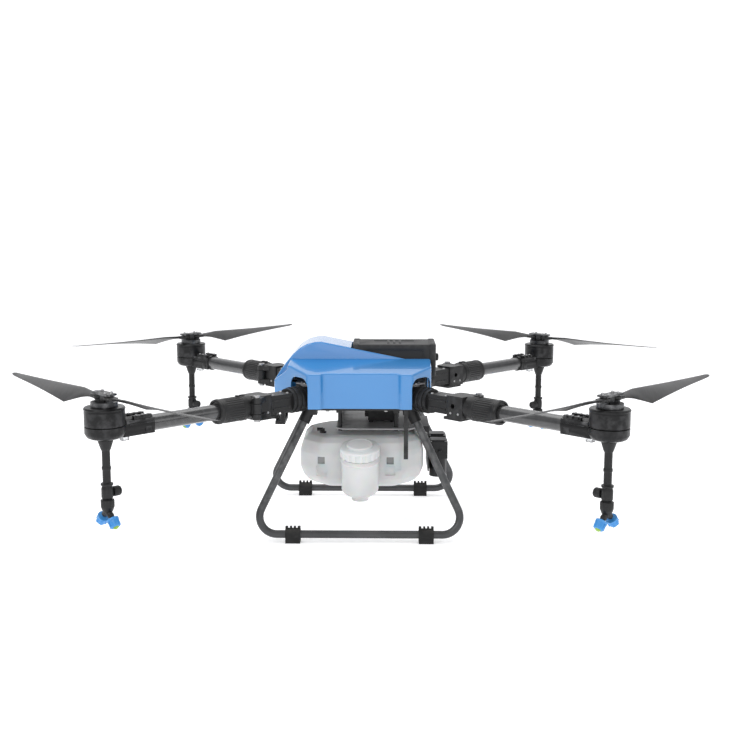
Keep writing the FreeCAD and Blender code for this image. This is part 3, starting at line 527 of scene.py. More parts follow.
def buildCollar():
    # ribbed grip between a plain band and a turned lip; radius varies round it and along it
    bm = bmesh.new()
    shape = collar
    length = shape["outer"] - shape["inner"]
    stations = 56
    around = shape["ribs"] * 8
    rings = []
    for s in range(stations + 1):
        x = length * s / stations
        fade = min(max((x - shape["band"] - 0.001) / 0.003, 0), 1) * min(max((length - 0.016 - x) / 0.004, 0), 1)
        ring = []
        for k in range(around):
            angle = 2 * math.pi * k / around
            rib = 0.5 + 0.5 * math.cos(shape["ribs"] * angle)
            radius = shape["radius"] + shape["ribRise"] * fade * (rib ** 0.6 - 0.5)
            if x < shape["band"]:
                radius = shape["radius"] + 0.0011
            if x > length - 0.009:
                radius = shape["lip"] - 0.0016 * ((x - length + 0.009) / 0.009) ** 2
            edge = min(x, length - x)
            if edge < 0.0016:
                radius -= 0.0016 - math.sqrt(max(0.0016 ** 2 - (0.0016 - edge) ** 2, 0))
            y, z = radius * math.cos(angle), armHeight + radius * math.sin(angle)
            ring.append(bm.verts.new((shape["inner"] + x, y, z)))
        rings.append(ring)
    for x in (shape["outer"], shape["inner"]):
        rings.append([bm.verts.new((x, shape["bore"] * math.cos(2 * math.pi * k / around),
                                    armHeight + shape["bore"] * math.sin(2 * math.pi * k / around)))
                      for k in range(around)])
    rings.append(rings[0])
    bridgeRings(bm, rings)
    for k in range(2):  # two stops on top of the inner band
        slab(bm, (shape["inner"] + 0.002 + k * 0.011, shape["inner"] + 0.009 + k * 0.011), (-0.0045, 0.0045),
             (armHeight + 0.0255, armHeight + 0.0298), 0.001, 0.0008)
    mesh = meshOf(bm, "lockCollar")
    dressMesh(mesh, [finish["mouldedNylon"]], 40)
    placeOnArms("collarShell", mesh, "collar_", "lock_collar_")


armRoot = dict(capBolts=[(0.244, -0.012), (0.244, 0.012), (0.286, -0.012), (0.286, 0.012)], capTop=0.0195,
               sideBolts=(0.312, 0.334), sideFace=0.0255, sideBoltHeight=-0.014,
               ridge=(0.242, 0.292), ridgeFace=0.0205, ridgeHalf=0.0008,
               ridgeHeights=((-0.012, -0.008), (0.006, 0.010)))


def rootFittings(bm):
    shape = armRoot
    for arm in armNames:
        turn = armMatrix(arm)
        for x, y in shape["capBolts"]:
            bolt(bm, (x, y, armHeight + shape["capTop"]), 0.0036, 0.0026, turn, 1)
        for side in (-1, 1):
            for x in shape["sideBolts"]:
                bolt(bm, (x, side * shape["sideFace"], armHeight + shape["sideBoltHeight"]), 0.0028, 0.0016, turn, 1,
                     Vector((0, side, 0)))
            face, half = side * shape["ridgeFace"], shape["ridgeHalf"]
            for low, high in shape["ridgeHeights"]:
                slab(bm, shape["ridge"], (face - half, face + half), (armHeight + low, armHeight + high),
                     0.0006, 0.0003, turn, 0)


def softenArms():
    black, steel = finish["mouldedNylon"], finish["brightSteel"]
    softenNode("arm_roots", 0.0011, [black, steel], rootFittings)
    softenNode("frame_fasteners", 0.0005, [steel])
    for arm in armNames:
        softenNode("fold_sleeve_" + arm, 0.0009, [black])
        softenNode("motor_mount_" + arm, 0.0008, [finish["anodisedBlack"], steel, finish["clearPlastic"]],
                   lambda bm, arm=arm: mountFittings(bm, arm))


clamp = dict(firstScrew=0.616, screwPitch=0.014, screwSide=0.0145, screwTop=0.0225)


def mountFittings(bm, arm):
    turn = armMatrix(arm)
    for k in range(3):  # screw ends along the clamp's ridges
        for side in (-1, 1):
            spot = (clamp["firstScrew"] + clamp["screwPitch"] * k, side * clamp["screwSide"],
                    armHeight + clamp["screwTop"])
            bolt(bm, spot, 0.0027, 0.0022, turn, 1)
    for side in (-1, 1):  # the split line along the clamp and its lower lug
        slab(bm, (0.6045, 0.662), (side * 0.0196 - 0.0006, side * 0.0196 + 0.0006),
             (armHeight + 0.0055, armHeight + 0.0075), 0.0004, 0.0002, turn, 0)
        slab(bm, (0.612, 0.626), (side * 0.0192 - 0.0012, side * 0.0192 + 0.0012),
             (armHeight - 0.012, armHeight - 0.001), 0.001, 0.0005, turn, 0)
    slab(bm, (0.655, 0.672), (-0.007, 0.007), (armHeight - 0.0275, armHeight - 0.0165), 0.003, 0.0012, turn, 2)


bell = dict(radius=0.0405, lip=0.0413, top=0.0318, bottom=-0.0068, socket=0.0042)


def buildBell():
    # outer can, top disc with a shallow dish and a socket, closed below so that nothing shows in the gap
    bm = bmesh.new()
    r, top, bottom = bell["radius"], bell["top"], bell["bottom"]
    profile = [(0, top - 0.005), (bell["socket"], top - 0.005), (bell["socket"], top - 0.0008), (0.0052, top - 0.0004),
               (0.024, top - 0.0004), (0.0245, top - 0.0009), (0.0262, top - 0.0009), (0.0267, top - 0.0004),
               (r - 0.004, top), (r - 0.0012, top - 0.0004), (r - 0.0002, top - 0.0016),
               (bell["lip"] - 0.0002, top - 0.0026),
               (bell["lip"], top - 0.0032), (bell["lip"], top - 0.0046), (r, top - 0.0056), (r, top - 0.0072),
               (r - 0.0004, top - 0.0076), (r - 0.0004, top - 0.0086), (r, top - 0.0090),
               (r, bottom + 0.0016), (r - 0.0009, bottom + 0.0004), (r - 0.0016, bottom), (0, bottom)]
    lathe(bm, profile, 72, Matrix.Translation((armReach, 0, 0)))
    for k in range(4):
        angle = math.pi / 4 + math.pi / 2 * k
        spot = (armReach + 0.032 * math.cos(angle), 0.032 * math.sin(angle), top - 0.0016)
        bolt(bm, spot, 0.0018, 0.0014, material=1)
    mesh = meshOf(bm, "motorCan")
    dressMesh(mesh, [finish["anodisedBlack"], finish["deviceBlack"]], 30)
    placeOnArms("motorCan", mesh, "rotor_", "motor_bell_")


def hubFittings(bm, arm):
    turn = armMatrix(arm)
    top = 0.060
    for side in (-1, 1):
        for x in (-0.007, 0.007):
            bolt(bm, (armReach + x, side * 0.017, top - 0.0006), 0.0034, 0.0038, turn, 1)
        bolt(bm, (armReach, side * 0.026, top - 0.0006), 0.0024, 0.0020, turn, 1)


def buildHubs():
    for arm in armNames:
        softenNode("prop_hub_" + arm, 0.0009, [finish["hubAlloy"], finish["brightSteel"]],
                   lambda bm, arm=arm: hubFittings(bm, arm))


counterRotating = ("front_left", "rear_right")  # these two propellers are mirror images of the others
blade = dict(pivot=0.020, height=0.050, eye=0.011,
             stations=[(0.028, 0.0088, 0.0098, 10.0, 0.0000, 0.0066), (0.046, 0.0095, 0.0110, 17.0, 0.0001, 0.0062),
                       (0.062, 0.0110, 0.0150, 23.0, 0.0002, 0.0056), (0.0953, 0.0150, 0.0400, 26.0, 0.0006, 0.0046),
                       (0.160, 0.0150, 0.0330, 18.5, 0.0012, 0.0038), (0.2362, 0.0140, 0.0240, 12.0, 0.0020, 0.0032),
                       (0.330, 0.0105, 0.0140, 7.0, 0.0042, 0.0024), (0.362, 0.0088, 0.0098, 6.0, 0.0051, 0.0020),
                       (0.376, 0.0068, 0.0062, 4.6, 0.0063, 0.0016), (0.3808, 0.0030, 0.0022, 4.0, 0.0068, 0.0010)])


def bladeStation(reach):
    rows = blade["stations"]
    for low, high in zip(rows, rows[1:]):
        if reach <= high[0]:
            t = (reach - low[0]) / (high[0] - low[0])
            return [a + (b - a) * t for a, b in zip(low[1:], high[1:])]
    return list(rows[-1][1:])


def buildBlades():
    # an airfoil section carried from root to tip, with an eye round the pivot bolt
    section = []
    for k in range(20):
        angle = 2 * math.pi * k / 20
        across = math.cos(angle)
        thick = 0.5 * math.sin(angle) * (1.0 + 0.35 * math.copysign(1, across) * across ** 2)
        section.append((across, thick * (1.15 if math.sin(angle) > 0 else 0.75)))
    reaches = sorted({round(0.028 + 0.3528 * k / 60, 5) for k in range(61)} | {row[0] for row in blade["stations"]})
    bm = bmesh.new()
    rings = []
    for reach in reaches:
        lead, trail, pitch, lift, thickness = bladeStation(reach)
        tilt = math.radians(pitch)
        ring = []
        for across, thick in section:
            chord = across * (lead if across > 0 else trail)
            body = thickness * thick * (1.0 if across > 0 else (1 - 0.55 * across ** 2))
            x = -chord * math.cos(tilt) + body * math.sin(tilt)
            z = blade["height"] + lift + chord * math.sin(tilt) + body * math.cos(tilt)
            ring.append(bm.verts.new((x, reach, z)))
        rings.append(ring)
    bridgeRings(bm, rings)
    bm.faces.new(rings[0])
    bm.faces.new(rings[-1])
    low, high = blade["height"] - 0.004, blade["height"] + 0.004
    r = blade["eye"]
    eye = [(0.0034, low + 0.0002), (r - 0.0008, low), (r, low + 0.0008), (r, high - 0.0008), (r - 0.0008, high),
           (0.0034, high - 0.0002), (0.0034, low + 0.0002)]
    lathe(bm, eye, 32, Matrix.Translation((0, blade["pivot"], 0)))
    slab(bm, (-0.0095, 0.0095), (0.024, 0.040), (low + 0.0004, high - 0.0004), 0.004, 0.0012)
    mesh = meshOf(bm, "blade")
    dressMesh(mesh, [finish["bladeCarbon"]], 50)
    mirrorY = Matrix.Diagonal((1, -1, 1, 1))
    for arm in armNames:
        for letter, angle in (("a", 0), ("b", math.pi)):
            turned = mesh.copy()
            if arm in counterRotating:
                turned.transform(mirrorY @ Matrix.Rotation(math.pi - angle, 4, "Z"))
                turned.flip_normals()
            else:
                turned.transform(Matrix.Rotation(angle, 4, "Z"))
            turned.transform(armMatrix(arm) @ Matrix.Translation((armReach, 0, 0)))
            node = "blade_" + letter + "_" + arm
            place("bladeSkin_" + letter + "_" + arm, turned, node, [node])


nozzle = dict(top=-0.032, throat=0.0083, capRadius=0.0118, capLength=0.019, spread=0.0115, drop=0.158)


def buildNozzle():
    # flared top, down pipe, connector with a drum knob, twin head with ribbed spray caps
    top = nozzle["top"]
    hub = Matrix.Translation((armReach, 0, top))
    r = nozzle["throat"]
    bm = bmesh.new()
    pipe = roundCorners([(0, 0), (0.0158, 0), (0.0158, -0.005), (0.0104, -0.022), (r, -0.026), (r, -0.057),
                         (0.0094, -0.0595), (0.0094, -0.0635), (r, -0.066), (r, -0.0915), (0.0126, -0.0922),
                         (0.0126, -0.0965), (0.0098, -0.0972), (0.0118, -0.1035), (0.0118, -0.1215), (0.0088, -0.1255),
                         (0.0136, -0.1262), (0.0136, -0.1415), (0.0100, -0.1512), (0, -0.1520)], 0.0012, 3, False)
    lathe(bm, [(p.x, p.y) for p in pipe], 40, hub)
    for k in range(8):  # grip flutes of the union nut
        angle = 2 * math.pi * k / 8
        rib = Matrix.Rotation(angle, 4, "Z")
        slab(bm, (0.0128, 0.0140), (-0.0013, 0.0013), (-0.1405, -0.1272), 0.0005, 0.0004, hub @ rib)
    knob = hub @ Matrix.Translation((0, 0, -0.112)) @ Matrix.Rotation(-math.pi / 2, 4, "Y")
    lathe(bm, [(0, 0), (0.0050, 0), (0.0050, 0.0125), (0.0092, 0.0130), (0.0099, 0.0140), (0.0099, 0.0275),
               (0.0090, 0.0288), (0.0060, 0.0288), (0.0055, 0.0276), (0, 0.0276)], 36, knob)
    for k in range(16):
        angle = Matrix.Rotation(2 * math.pi * k / 16, 4, "Z")
        slab(bm, (0.0094, 0.0103), (-0.0007, 0.0007), (0.0145, 0.0270), 0.0003, 0.0003, knob @ angle)
    elbowZ = -nozzle["drop"]
    for side in (-1, 1):
        route = [Vector((0, side * 0.001, -0.149)), Vector((0, side * 0.003, -0.153)),
                 Vector((0, side * nozzle["spread"], elbowZ))]
        path = [hub @ p for p in roundCorners(route, 0.004, 4, False)]
        sweepTube(bm, path, 0.0068, 24)
        lathe(bm, [(0, 0.0068), (0.0048, 0.0048), (0.0068, 0), (0.0048, -0.0048), (0, -0.0068)], 20,
              hub @ Matrix.Translation((0, side * nozzle["spread"], elbowZ)))
        way = Vector((0, side * 0.66, -0.75)).normalized()
        aim = way.to_track_quat("Z", "Y").to_matrix().to_4x4()
        cap = hub @ Matrix.Translation(Vector((0, side * nozzle["spread"], elbowZ)) + way * 0.0072) @ aim
        c, n = nozzle["capRadius"], nozzle["capLength"]
        lathe(bm, [(0, 0), (0.0118, 0), (0.0124, 0.0006), (0.0124, 0.0042), (0.0116, 0.0050), (c - 0.0010, 0.0056),
                   (c - 0.0010, n - 0.0030), (c - 0.0022, n - 0.0006), (c - 0.0034, n), (0, n)], 40, cap, 1)
        for k in range(6):  # bayonet grips
            slab(bm, (c - 0.0018, c + 0.0004), (-0.0019, 0.0019), (0.0050, n - 0.0026), 0.0006, 0.0005,
                 cap @ Matrix.Rotation(math.pi / 3 * k, 4, "Z"), 1)
        lathe(bm, [(0, n - 0.001), (0.0062, n - 0.001), (0.0060, n + 0.0012), (0.0042, n + 0.0016),
                   (0.0040, n + 0.0030), (0.0014, n + 0.0033), (0.0012, n + 0.0016), (0, n + 0.0016)], 28, cap, 2)
    mesh = meshOf(bm, "sprayNozzle")
    dressMesh(mesh, [finish["nozzleBlack"], finish["nozzleBlue"], finish["tipGreen"]], 36)
    placeOnArms("sprayHead", mesh, "arm_", "spray_nozzle_")


carryTube()
buildCollar()
softenArms()
buildBell()
buildHubs()
buildBlades()
buildNozzle()
print("arms built")


# canopy
canopy = dict(wall=0.0026, edge=0.004, noseHalf=0.066, noseBack=0.044, noseSide=0.054, pillar=0.121, tailHalf=0.112,
              recess=0.009, recessFrom=-0.084, recessTo=0.088, shoulder=0.080, shoulderRise=0.022, humpHalf=0.062,
              wellFrom=-0.023, wellHalf=0.0605, archHalf=0.0345, archTop=0.070)


def canopyPlan(low, high):
    shape = canopy
    x0, x1, y = low.x, high.x, high.y
    half = [(shape["pillar"], -y), (x1, -shape["tailHalf"]), (x1, shape["tailHalf"]), (shape["pillar"], y),
            (-shape["pillar"], y), (x0 + shape["noseBack"], y - shape["noseSide"]), (x0, shape["noseHalf"])]
    return half + [(x0, -shape["noseHalf"]), (x0 + shape["noseBack"], -y + shape["noseSide"]), (-shape["pillar"], -y)]


def prismMesh(outline, low, high, matrix=Matrix(), material=0):
    bm = bmesh.new()
    prism(bm, outline, low, high, 0.0, 1, matrix, material)
    bmesh.ops.remove_doubles(bm, verts=bm.verts, dist=1e-7)
    mesh = meshOf(bm, "prism")
    for _ in range(material + 1):
        mesh.materials.append(None)
    return mesh


def dropFaces(mesh, test):
    bm = bmesh.new()
    bm.from_mesh(mesh)
    bmesh.ops.delete(bm, geom=[face for face in bm.faces if test(face)], context="FACES")
    bm.to_mesh(mesh)
    bm.free()


def mergedFlats(mesh):
    # one face for each flat side, so that only real edges are left to round
    bm = bmesh.new()
    bm.from_mesh(mesh)
    bmesh.ops.remove_doubles(bm, verts=bm.verts, dist=2e-5)
    bmesh.ops.dissolve_limit(bm, angle_limit=math.radians(0.5), verts=bm.verts, edges=bm.edges)
    bm.to_mesh(mesh)
    bm.free()
    return mesh


def buildCanopy():
    shape = canopy
    low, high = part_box("canopy")
    base = low.z
    walls = prismMesh(canopyPlan(low, high), base - 0.03, base + 0.2)
    sideways = Matrix(((0, 0, 1, 0), (1, 0, 0, 0), (0, 1, 0, 0), (0, 0, 0, 1)))  # outline in Y and Z, pulled along X
    y, hump = high.y + 0.001, shape["humpHalf"]
    eaves = base + shape["shoulder"]
    crown = base + shape["shoulder"] + shape["shoulderRise"]
    roof = [(-y, base - 0.05), (y, base - 0.05), (y, eaves), (hump, crown), (-hump, crown), (-y, eaves)]
    lowerBody = combine(walls.copy(), prismMesh(roof, -0.4, 0.4, sideways), "INTERSECT")
    lengthways = Matrix(((1, 0, 0, 0), (0, 0, -1, 0), (0, 1, 0, 0), (0, 0, 0, 1)))  # outline in X and Z, pulled along Y
    nose = [(low.x - 0.02, base - 0.05), (0.3, base - 0.05), (0.3, base + 0.16), (low.x + 0.06, base + 0.16),
            (low.x + 0.031, base + 0.078), (low.x, base + 0.052), (low.x - 0.02, base + 0.04)]
    lowerBody = combine(lowerBody, prismMesh(nose, -0.3, 0.3, lengthways), "INTERSECT")
    rise = high.z - base
    ridge = [(low.x, base - 0.05), (high.x, base - 0.05), (high.x, base + rise - 0.052)]
    crest = [(low.x + 0.112, rise - 0.0005), (low.x + 0.097, rise - 0.0012), (low.x + 0.078, rise - 0.0060),
             (low.x + 0.062, rise - 0.0150), (low.x + 0.046, rise - 0.0290), (low.x + 0.030, rise - 0.0480),
             (low.x + 0.014, rise - 0.0700), (low.x, rise - 0.0920)]
    ridge += [(x, base + z) for x, z in crest]
    humpBody = combine(prismMesh(ridge, -hump, hump, lengthways), walls, "INTERSECT")
    for side in (-1, 1):  # the middle of each side wall stands back between its corner pillars
        x0, x1, y = shape["recessFrom"], shape["recessTo"], side * (high.y - shape["recess"])
        splay = [(x0 - 0.012, side * (high.y + 0.01)), (x0, y), (x1, y), (x1 + 0.012, side * (high.y + 0.01))]
        lowerBody = combine(lowerBody, prismMesh(splay if side < 0 else splay[::-1], base - 0.04, base + 0.1))
    # each body is rounded by itself and then joined, so no bevel has to turn through the inner corner between them
    lowerBody = withModifiers(mergedFlats(lowerBody), rounding(shape["edge"], 3, 14))
    humpBody = withModifiers(mergedFlats(humpBody), rounding(shape["edge"], 3, 35))
    outer = combine(lowerBody, humpBody, "UNION")
    for _ in range(2):  # a second slot marks the faces that the cutters leave
        outer.materials.append(None)
    outer = combine(outer, boxMesh((-0.4, 0.4), (-0.4, 0.4), (base - 0.2, base)))
    dropFaces(outer, lambda face: face.normal.z < -0.9 and face.calc_center_median().z < base + 0.002)
    cutter = [(shape["wellFrom"], -shape["wellHalf"]), (0.4, -shape["wellHalf"]), (0.4, shape["wellHalf"]),
              (shape["wellFrom"], shape["wellHalf"])]
    cutters = [prismMesh(cutter, base - 0.1, base + 0.3, Matrix(), 1)]
    half, top = shape["archHalf"], shape["archTop"]
    arch = roundCorners([(-half, -0.05), (half, -0.05), (half, top), (-half, top)], 0.024, 8)
    for arm in armNames:
        onArm = armMatrix(arm) @ Matrix.Translation((0.13, 0, base - motorHeight))
        cutters.append(prismMesh(arch, 0.0, 0.13, onArm @ sideways, 1))
    shell = outer
    for tool in cutters:
        shell = combine(shell, tool)
    dropFaces(shell, lambda face: face.material_index == 1)
    shell = withModifiers(shell, ("SOLIDIFY", {"thickness": shape["wall"], "offset": -1.0, "use_even_offset": True}))
    shell = withModifiers(shell, rounding(0.0007, 2, 50))
    shell.materials.clear()
    dressMesh(shell, [finish["canopyPaint"]], 40)
    shell = steadyNormals(shell)
    place("canopyShell", shell, "canopy", ["canopy"])


buildCanopy()
print("canopy built")


# battery
battery = dict(band=0.016, proud=0.002, corner=0.006, panelInset=0.0016, knobRadius=0.0088)


def buildBattery():
    shape = battery
    low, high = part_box("battery_case")
    end = high.x - 0.009  # the knob stands 9 mm off the end
    proud = shape["proud"]
    core = bmesh.new()
    slab(core, (low.x + proud, end - proud), (low.y + proud, high.y - proud), (low.z, high.z - proud),
         shape["corner"], 0.003)
    mesh = meshOf(core, "batteryCore")
    cuts = bmesh.new()
    x0, x1 = low.x + 0.030, end - 0.030
    z0, z1 = low.z + 0.010, high.z - 0.014
    lengthways = Matrix(((1, 0, 0, 0), (0, 0, -1, 0), (0, 1, 0, 0), (0, 0, 0, 1)))
    depth = proud + shape["panelInset"]
    for y0, y1 in ((low.y - 0.01, low.y + depth), (high.y - depth, high.y + 0.01)):
        outline = roundCorners([(x0, z0), (x1, z0), (x1, z1), (x0, z1)], 0.006, 4)
        prism(cuts, outline, -y1, -y0, 0.0, 1, lengthways)
    bmesh.ops.remove_doubles(cuts, verts=cuts.verts, dist=1e-7)
    mesh = combine(mesh, meshOf(cuts, "panels"))
    mesh = combine(mesh, boxMesh((x0 + 0.02, x1 - 0.02), (-0.030, 0.030), (high.z - proud - 0.0012, high.z + 0.01)))
    mesh = withModifiers(mesh, rounding(0.0006, 2, 50))
    bm = bmesh.new()
    bm.from_mesh(mesh)
    for x in (low.x, end - shape["band"]):  # end bands, each with two top lugs
        slab(bm, (x, x + shape["band"]), (low.y, high.y), (low.z, high.z - 0.0006), 0.005, 0.0022)
        for side in (-1, 1):
            slab(bm, (x + 0.003, x + shape["band"] - 0.003), (side * 0.040 - 0.011, side * 0.040 + 0.011),
                 (high.z - 0.002, high.z), 0.002, 0.0006)
    for k in range(3):  # finger ribs on the top
        x = (low.x + end) / 2 + (k - 1) * 0.014
        slab(bm, (x - 0.003, x + 0.003), (-0.026, 0.026), (high.z - proud - 0.002, high.z - 0.001), 0.0015, 0.0006)
    middle = (low.z + high.z) / 2
    knob = Matrix.Translation((end, 0, middle)) @ Matrix.Rotation(math.pi / 2, 4, "Y")
    r = shape["knobRadius"]
    lathe(bm, [(0, -0.002), (r, -0.002), (r, 0.0062), (r - 0.0012, 0.0078), (r - 0.0030, 0.0086), (0, 0.0086)],
          36, knob, 1)
    for k in range(10):
        slab(bm, (r - 0.0006, r + 0.0002), (-0.0010, 0.0010), (0.001, 0.0062), 0.0003, 0.0002,
             knob @ Matrix.Rotation(2 * math.pi * k / 10, 4, "Z"), 1)
    for k in range(4):  # charge level lamps
        bolt(bm, (end - 0.0005, -0.036 + 0.008 * k, middle + 0.022), 0.0018, 0.0010, material=2, up=Vector((1, 0, 0)))
    mesh = meshOf(bm, "batteryCase")
    dressMesh(mesh, [finish["batteryShell"], finish["deviceBlack"], finish["clearPlastic"]], 36)
    place("batteryPack", mesh, "battery", ["battery_case"])


buildBattery()
print("battery built")


# tank
tank = dict(neckRadius=0.043, neckTilt=12.0, columnFoot=-0.108, outletLength=0.012, windows=(-0.092, 0.070),
            windowDrop=0.056, windowHalf=0.0085)


def tankLoft(bm, low, high, bodyLow, bodyTop):
    # eight-sided plan with soft corners, drawn in towards the floor and the roof
    rows = [(0.036, 0.046, bodyLow + 0.0004), (0.030, 0.044, bodyLow), (0.018, 0.045, bodyLow + 0.009),
            (0.008, 0.046, bodyLow + 0.022), (0.001, 0.047, bodyLow + 0.042), (0.0, 0.047, bodyLow + 0.050),
            (0.0, 0.047, bodyTop - 0.044), (0.002, 0.046, bodyTop - 0.034), (0.008, 0.045, bodyTop - 0.016),
            (0.018, 0.044, bodyTop - 0.005), (0.028, 0.044, bodyTop), (0.036, 0.046, bodyTop - 0.0004)]
    x0, x1, y = low.x, high.x, high.y
    rings = []
    for inset, corner, z in rows:
        a, b, c = x0 + inset, x1 - inset, y - inset
        plan = [(a, -c + corner), (a + corner, -c), (b - corner, -c), (b, -c + corner),
                (b, c - corner), (b - corner, c), (a + corner, c), (a, c - corner)]
        rings.append([bm.verts.new((p.x, p.y, z)) for p in roundCorners(plan, 0.030, 8)])
    bridgeRings(bm, rings)
    bm.faces.new(rings[0])
    bm.faces.new(rings[-1])


def buildTank():
    # blow-moulded body and its tilted filler column, melted together and smoothed
    low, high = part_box("tank_shell")
    capLow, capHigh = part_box("tank_cap")
    capMiddle = (capLow + capHigh) / 2
    solid = frame["nodes"]["tank_shell"].data
    bodyTop = max(v.co.z for v in solid.vertices if v.co.y > 0)
    bodyLow = min(v.co.z for v in solid.vertices if v.co.y > 0)
    lean = math.radians(tank["neckTilt"])
    axis = Vector((0, -math.sin(lean), math.cos(lean)))
    bm = bmesh.new()
    tankLoft(bm, low, high, bodyLow, bodyTop)
    body = meshOf(bm, "tankBody")
    upright = axis.to_track_quat("Z", "Y").to_matrix().to_4x4()
    onAxis = Matrix.Translation(Vector((0, capMiddle.y, capMiddle.z))) @ upright
    column = bmesh.new()
    r, foot = tank["neckRadius"], tank["columnFoot"]
    profile = roundCorners([(0, foot), (r - 0.008, foot), (r, foot + 0.008), (r, -0.0265), (r + 0.0038, -0.0255),
                            (r + 0.0038, -0.0215), (r, -0.0205), (r + 0.0010, -0.0165), (r - 0.004, -0.0155),
                            (r - 0.006, -0.0095), (r - 0.006, 0.004), (0, 0.004)], 0.0015, 3, False)
    lathe(column, [(p.x, p.y) for p in profile], 96, onAxis)
    base = onAxis @ Vector((0, 0, foot))
    seat = low.z + tank["outletLength"]
    outlet = [(0.0, low.z), (0.0188, low.z), (0.020, low.z + 0.0012), (0.020, seat), (0.027, seat),
              (0.029, seat + 0.002), (0.029, base.z + 0.012), (0, base.z + 0.012)]
    lathe(column, outlet, 64, Matrix.Translation((0, base.y, 0)))
    merged = combine(body, meshOf(column, "column"), "UNION")
    merged = withModifiers(merged, ("REMESH", {"mode": "VOXEL", "voxel_size": 0.0016}),
                           ("SMOOTH", {"factor": 0.5, "iterations": 5}))
    opening = bmesh.new()
    lathe(opening, [(0, -0.060), (r - 0.0090, -0.060), (r - 0.0090, 0.03), (0, 0.03)], 64, onAxis)
    merged = combine(merged, meshOf(opening, "opening"))
    hole = bmesh.new()
    lathe(hole, [(0, low.z - 0.01), (0.012, low.z - 0.01), (0.012, low.z + 0.020), (0, low.z + 0.020)], 40,
          Matrix.Translation((0, base.y, 0)))
    merged = combine(merged, meshOf(hole, "outletBore"))
    half = tank["windowHalf"]
    for x in tank["windows"]:
        z = bodyTop - tank["windowDrop"]
        merged = combine(merged, boxMesh((x - half, x + half), (low.y - 0.2, -high.y + 0.004), (z - half, z + half)))
    bm = bmesh.new()
    bm.from_mesh(merged)
    for x in tank["windows"]:  # grey webs where the walls are pinched together, their flat grey a painted shade, and a moulded frame below each
        z = bodyTop - tank["windowDrop"]
        slab(bm, (x - half + 0.0002, x + half - 0.0002), (-high.y + 0.0030, -high.y + 0.0045),
             (z - half + 0.0002, z + half - 0.0002), 0.0005, 0.0003, material=1)
        for x0, x1, z0, z1 in ((-0.012, 0.012, -0.0145, -0.0135), (-0.012, 0.012, -0.0365, -0.0355),
                               (-0.012, -0.011, -0.0365, -0.0135), (0.011, 0.012, -0.0365, -0.0135)):
            slab(bm, (x + x0, x + x1), (-high.y - 0.0003, -high.y + 0.003), (z + z0, z + z1), 0.0003, 0.0002)
    for k in range(6):  # level ticks, without figures
        wide = 0.010 if k % 2 == 0 else 0.006
        slab(bm, (0.096 - wide, 0.096), (-high.y - 0.0004, -high.y + 0.006),
             (bodyLow + 0.047 + 0.007 * k, bodyLow + 0.048 + 0.007 * k), 0.0003, 0.0002)
    merged = meshOf(bm, "tankWall")
    # the second finish is painted shade on the window webs
    dressMesh(merged, [finish["milkyTank"], finish["kissGrey"]], 40)
    place("tankWall", merged, "tank", ["tank_shell"])


def buildCap():
    low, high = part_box("tank_cap")
    middle = (low + high) / 2
    lean = math.radians(tank["neckTilt"])
    axis = Vector((0, -math.sin(lean), math.cos(lean)))
    aim = Matrix.Translation(middle) @ axis.to_track_quat("Z", "Y").to_matrix().to_4x4()
    bm = bmesh.new()
    around = 144
    radius = 0.0458
    levels = [(0.0388, -0.0135, 0), (radius - 0.0006, -0.0138, 1), (radius, -0.0128, 1), (radius, 0.0010, 1),
              (radius, 0.0022, 0), (radius, 0.0062, 0), (radius - 0.0012, 0.0080, 0), (radius - 0.0034, 0.0090, 0),
              (0.0310, 0.0096, 0), (0.0300, 0.0104, 0), (0.0298, 0.0138, 0), (0.0290, 0.0150, 0), (0.0262, 0.0152, 0),
              (0.0256, 0.0145, 0), (0.0120, 0.0145, 0)]
    rings = []
    for r, z, ribs in levels:
        ring = []
        for k in range(around):
            angle = 2 * math.pi * k / around
            notch = 0.0024 * ribs * (1 if k % 8 < 4 else 0)
            ring.append(bm.verts.new(aim @ Vector(((r - notch) * math.cos(angle), (r - notch) * math.sin(angle), z))))
        rings.append(ring)
    bridgeRings(bm, rings)
    bm.faces.new(rings[-1])
    turn = [2 * math.pi * k / around for k in range(around)]
    inner = [bm.verts.new(aim @ Vector((0.0388 * math.cos(a), 0.0388 * math.sin(a), 0.0050))) for a in turn]
    for k in range(around):
        bm.faces.new((rings[0][(k + 1) % around], rings[0][k], inner[k], inner[(k + 1) % around]))
    bm.faces.new(inner)
    mesh = meshOf(bm, "fillerCap")
    dressMesh(mesh, [finish["capPlastic"]], 32)
    place("fillerCap", mesh, "tank_cap", ["tank_cap"])


buildTank()
buildCap()
softenNode("tank_strainer", 0.0004, [finish["capPlastic"]])
softenNode("tank_breather", 0.0006, [finish["nozzleBlack"]])
print("tank built")


# airframe, plates and equipment
def boltsAt(points, radius, height, material=1, up=Vector((0, 0, 1))):
    def add(bm):
        for point in points:
            bolt(bm, point, radius, height, material=material, up=up)
    return add


def cornerPoints(node, insetX, insetY, z):
    low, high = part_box(node)
    return [(x, y, z) for x in (low.x + insetX, high.x - insetX) for y in (low.y + insetY, high.y - insetY)]


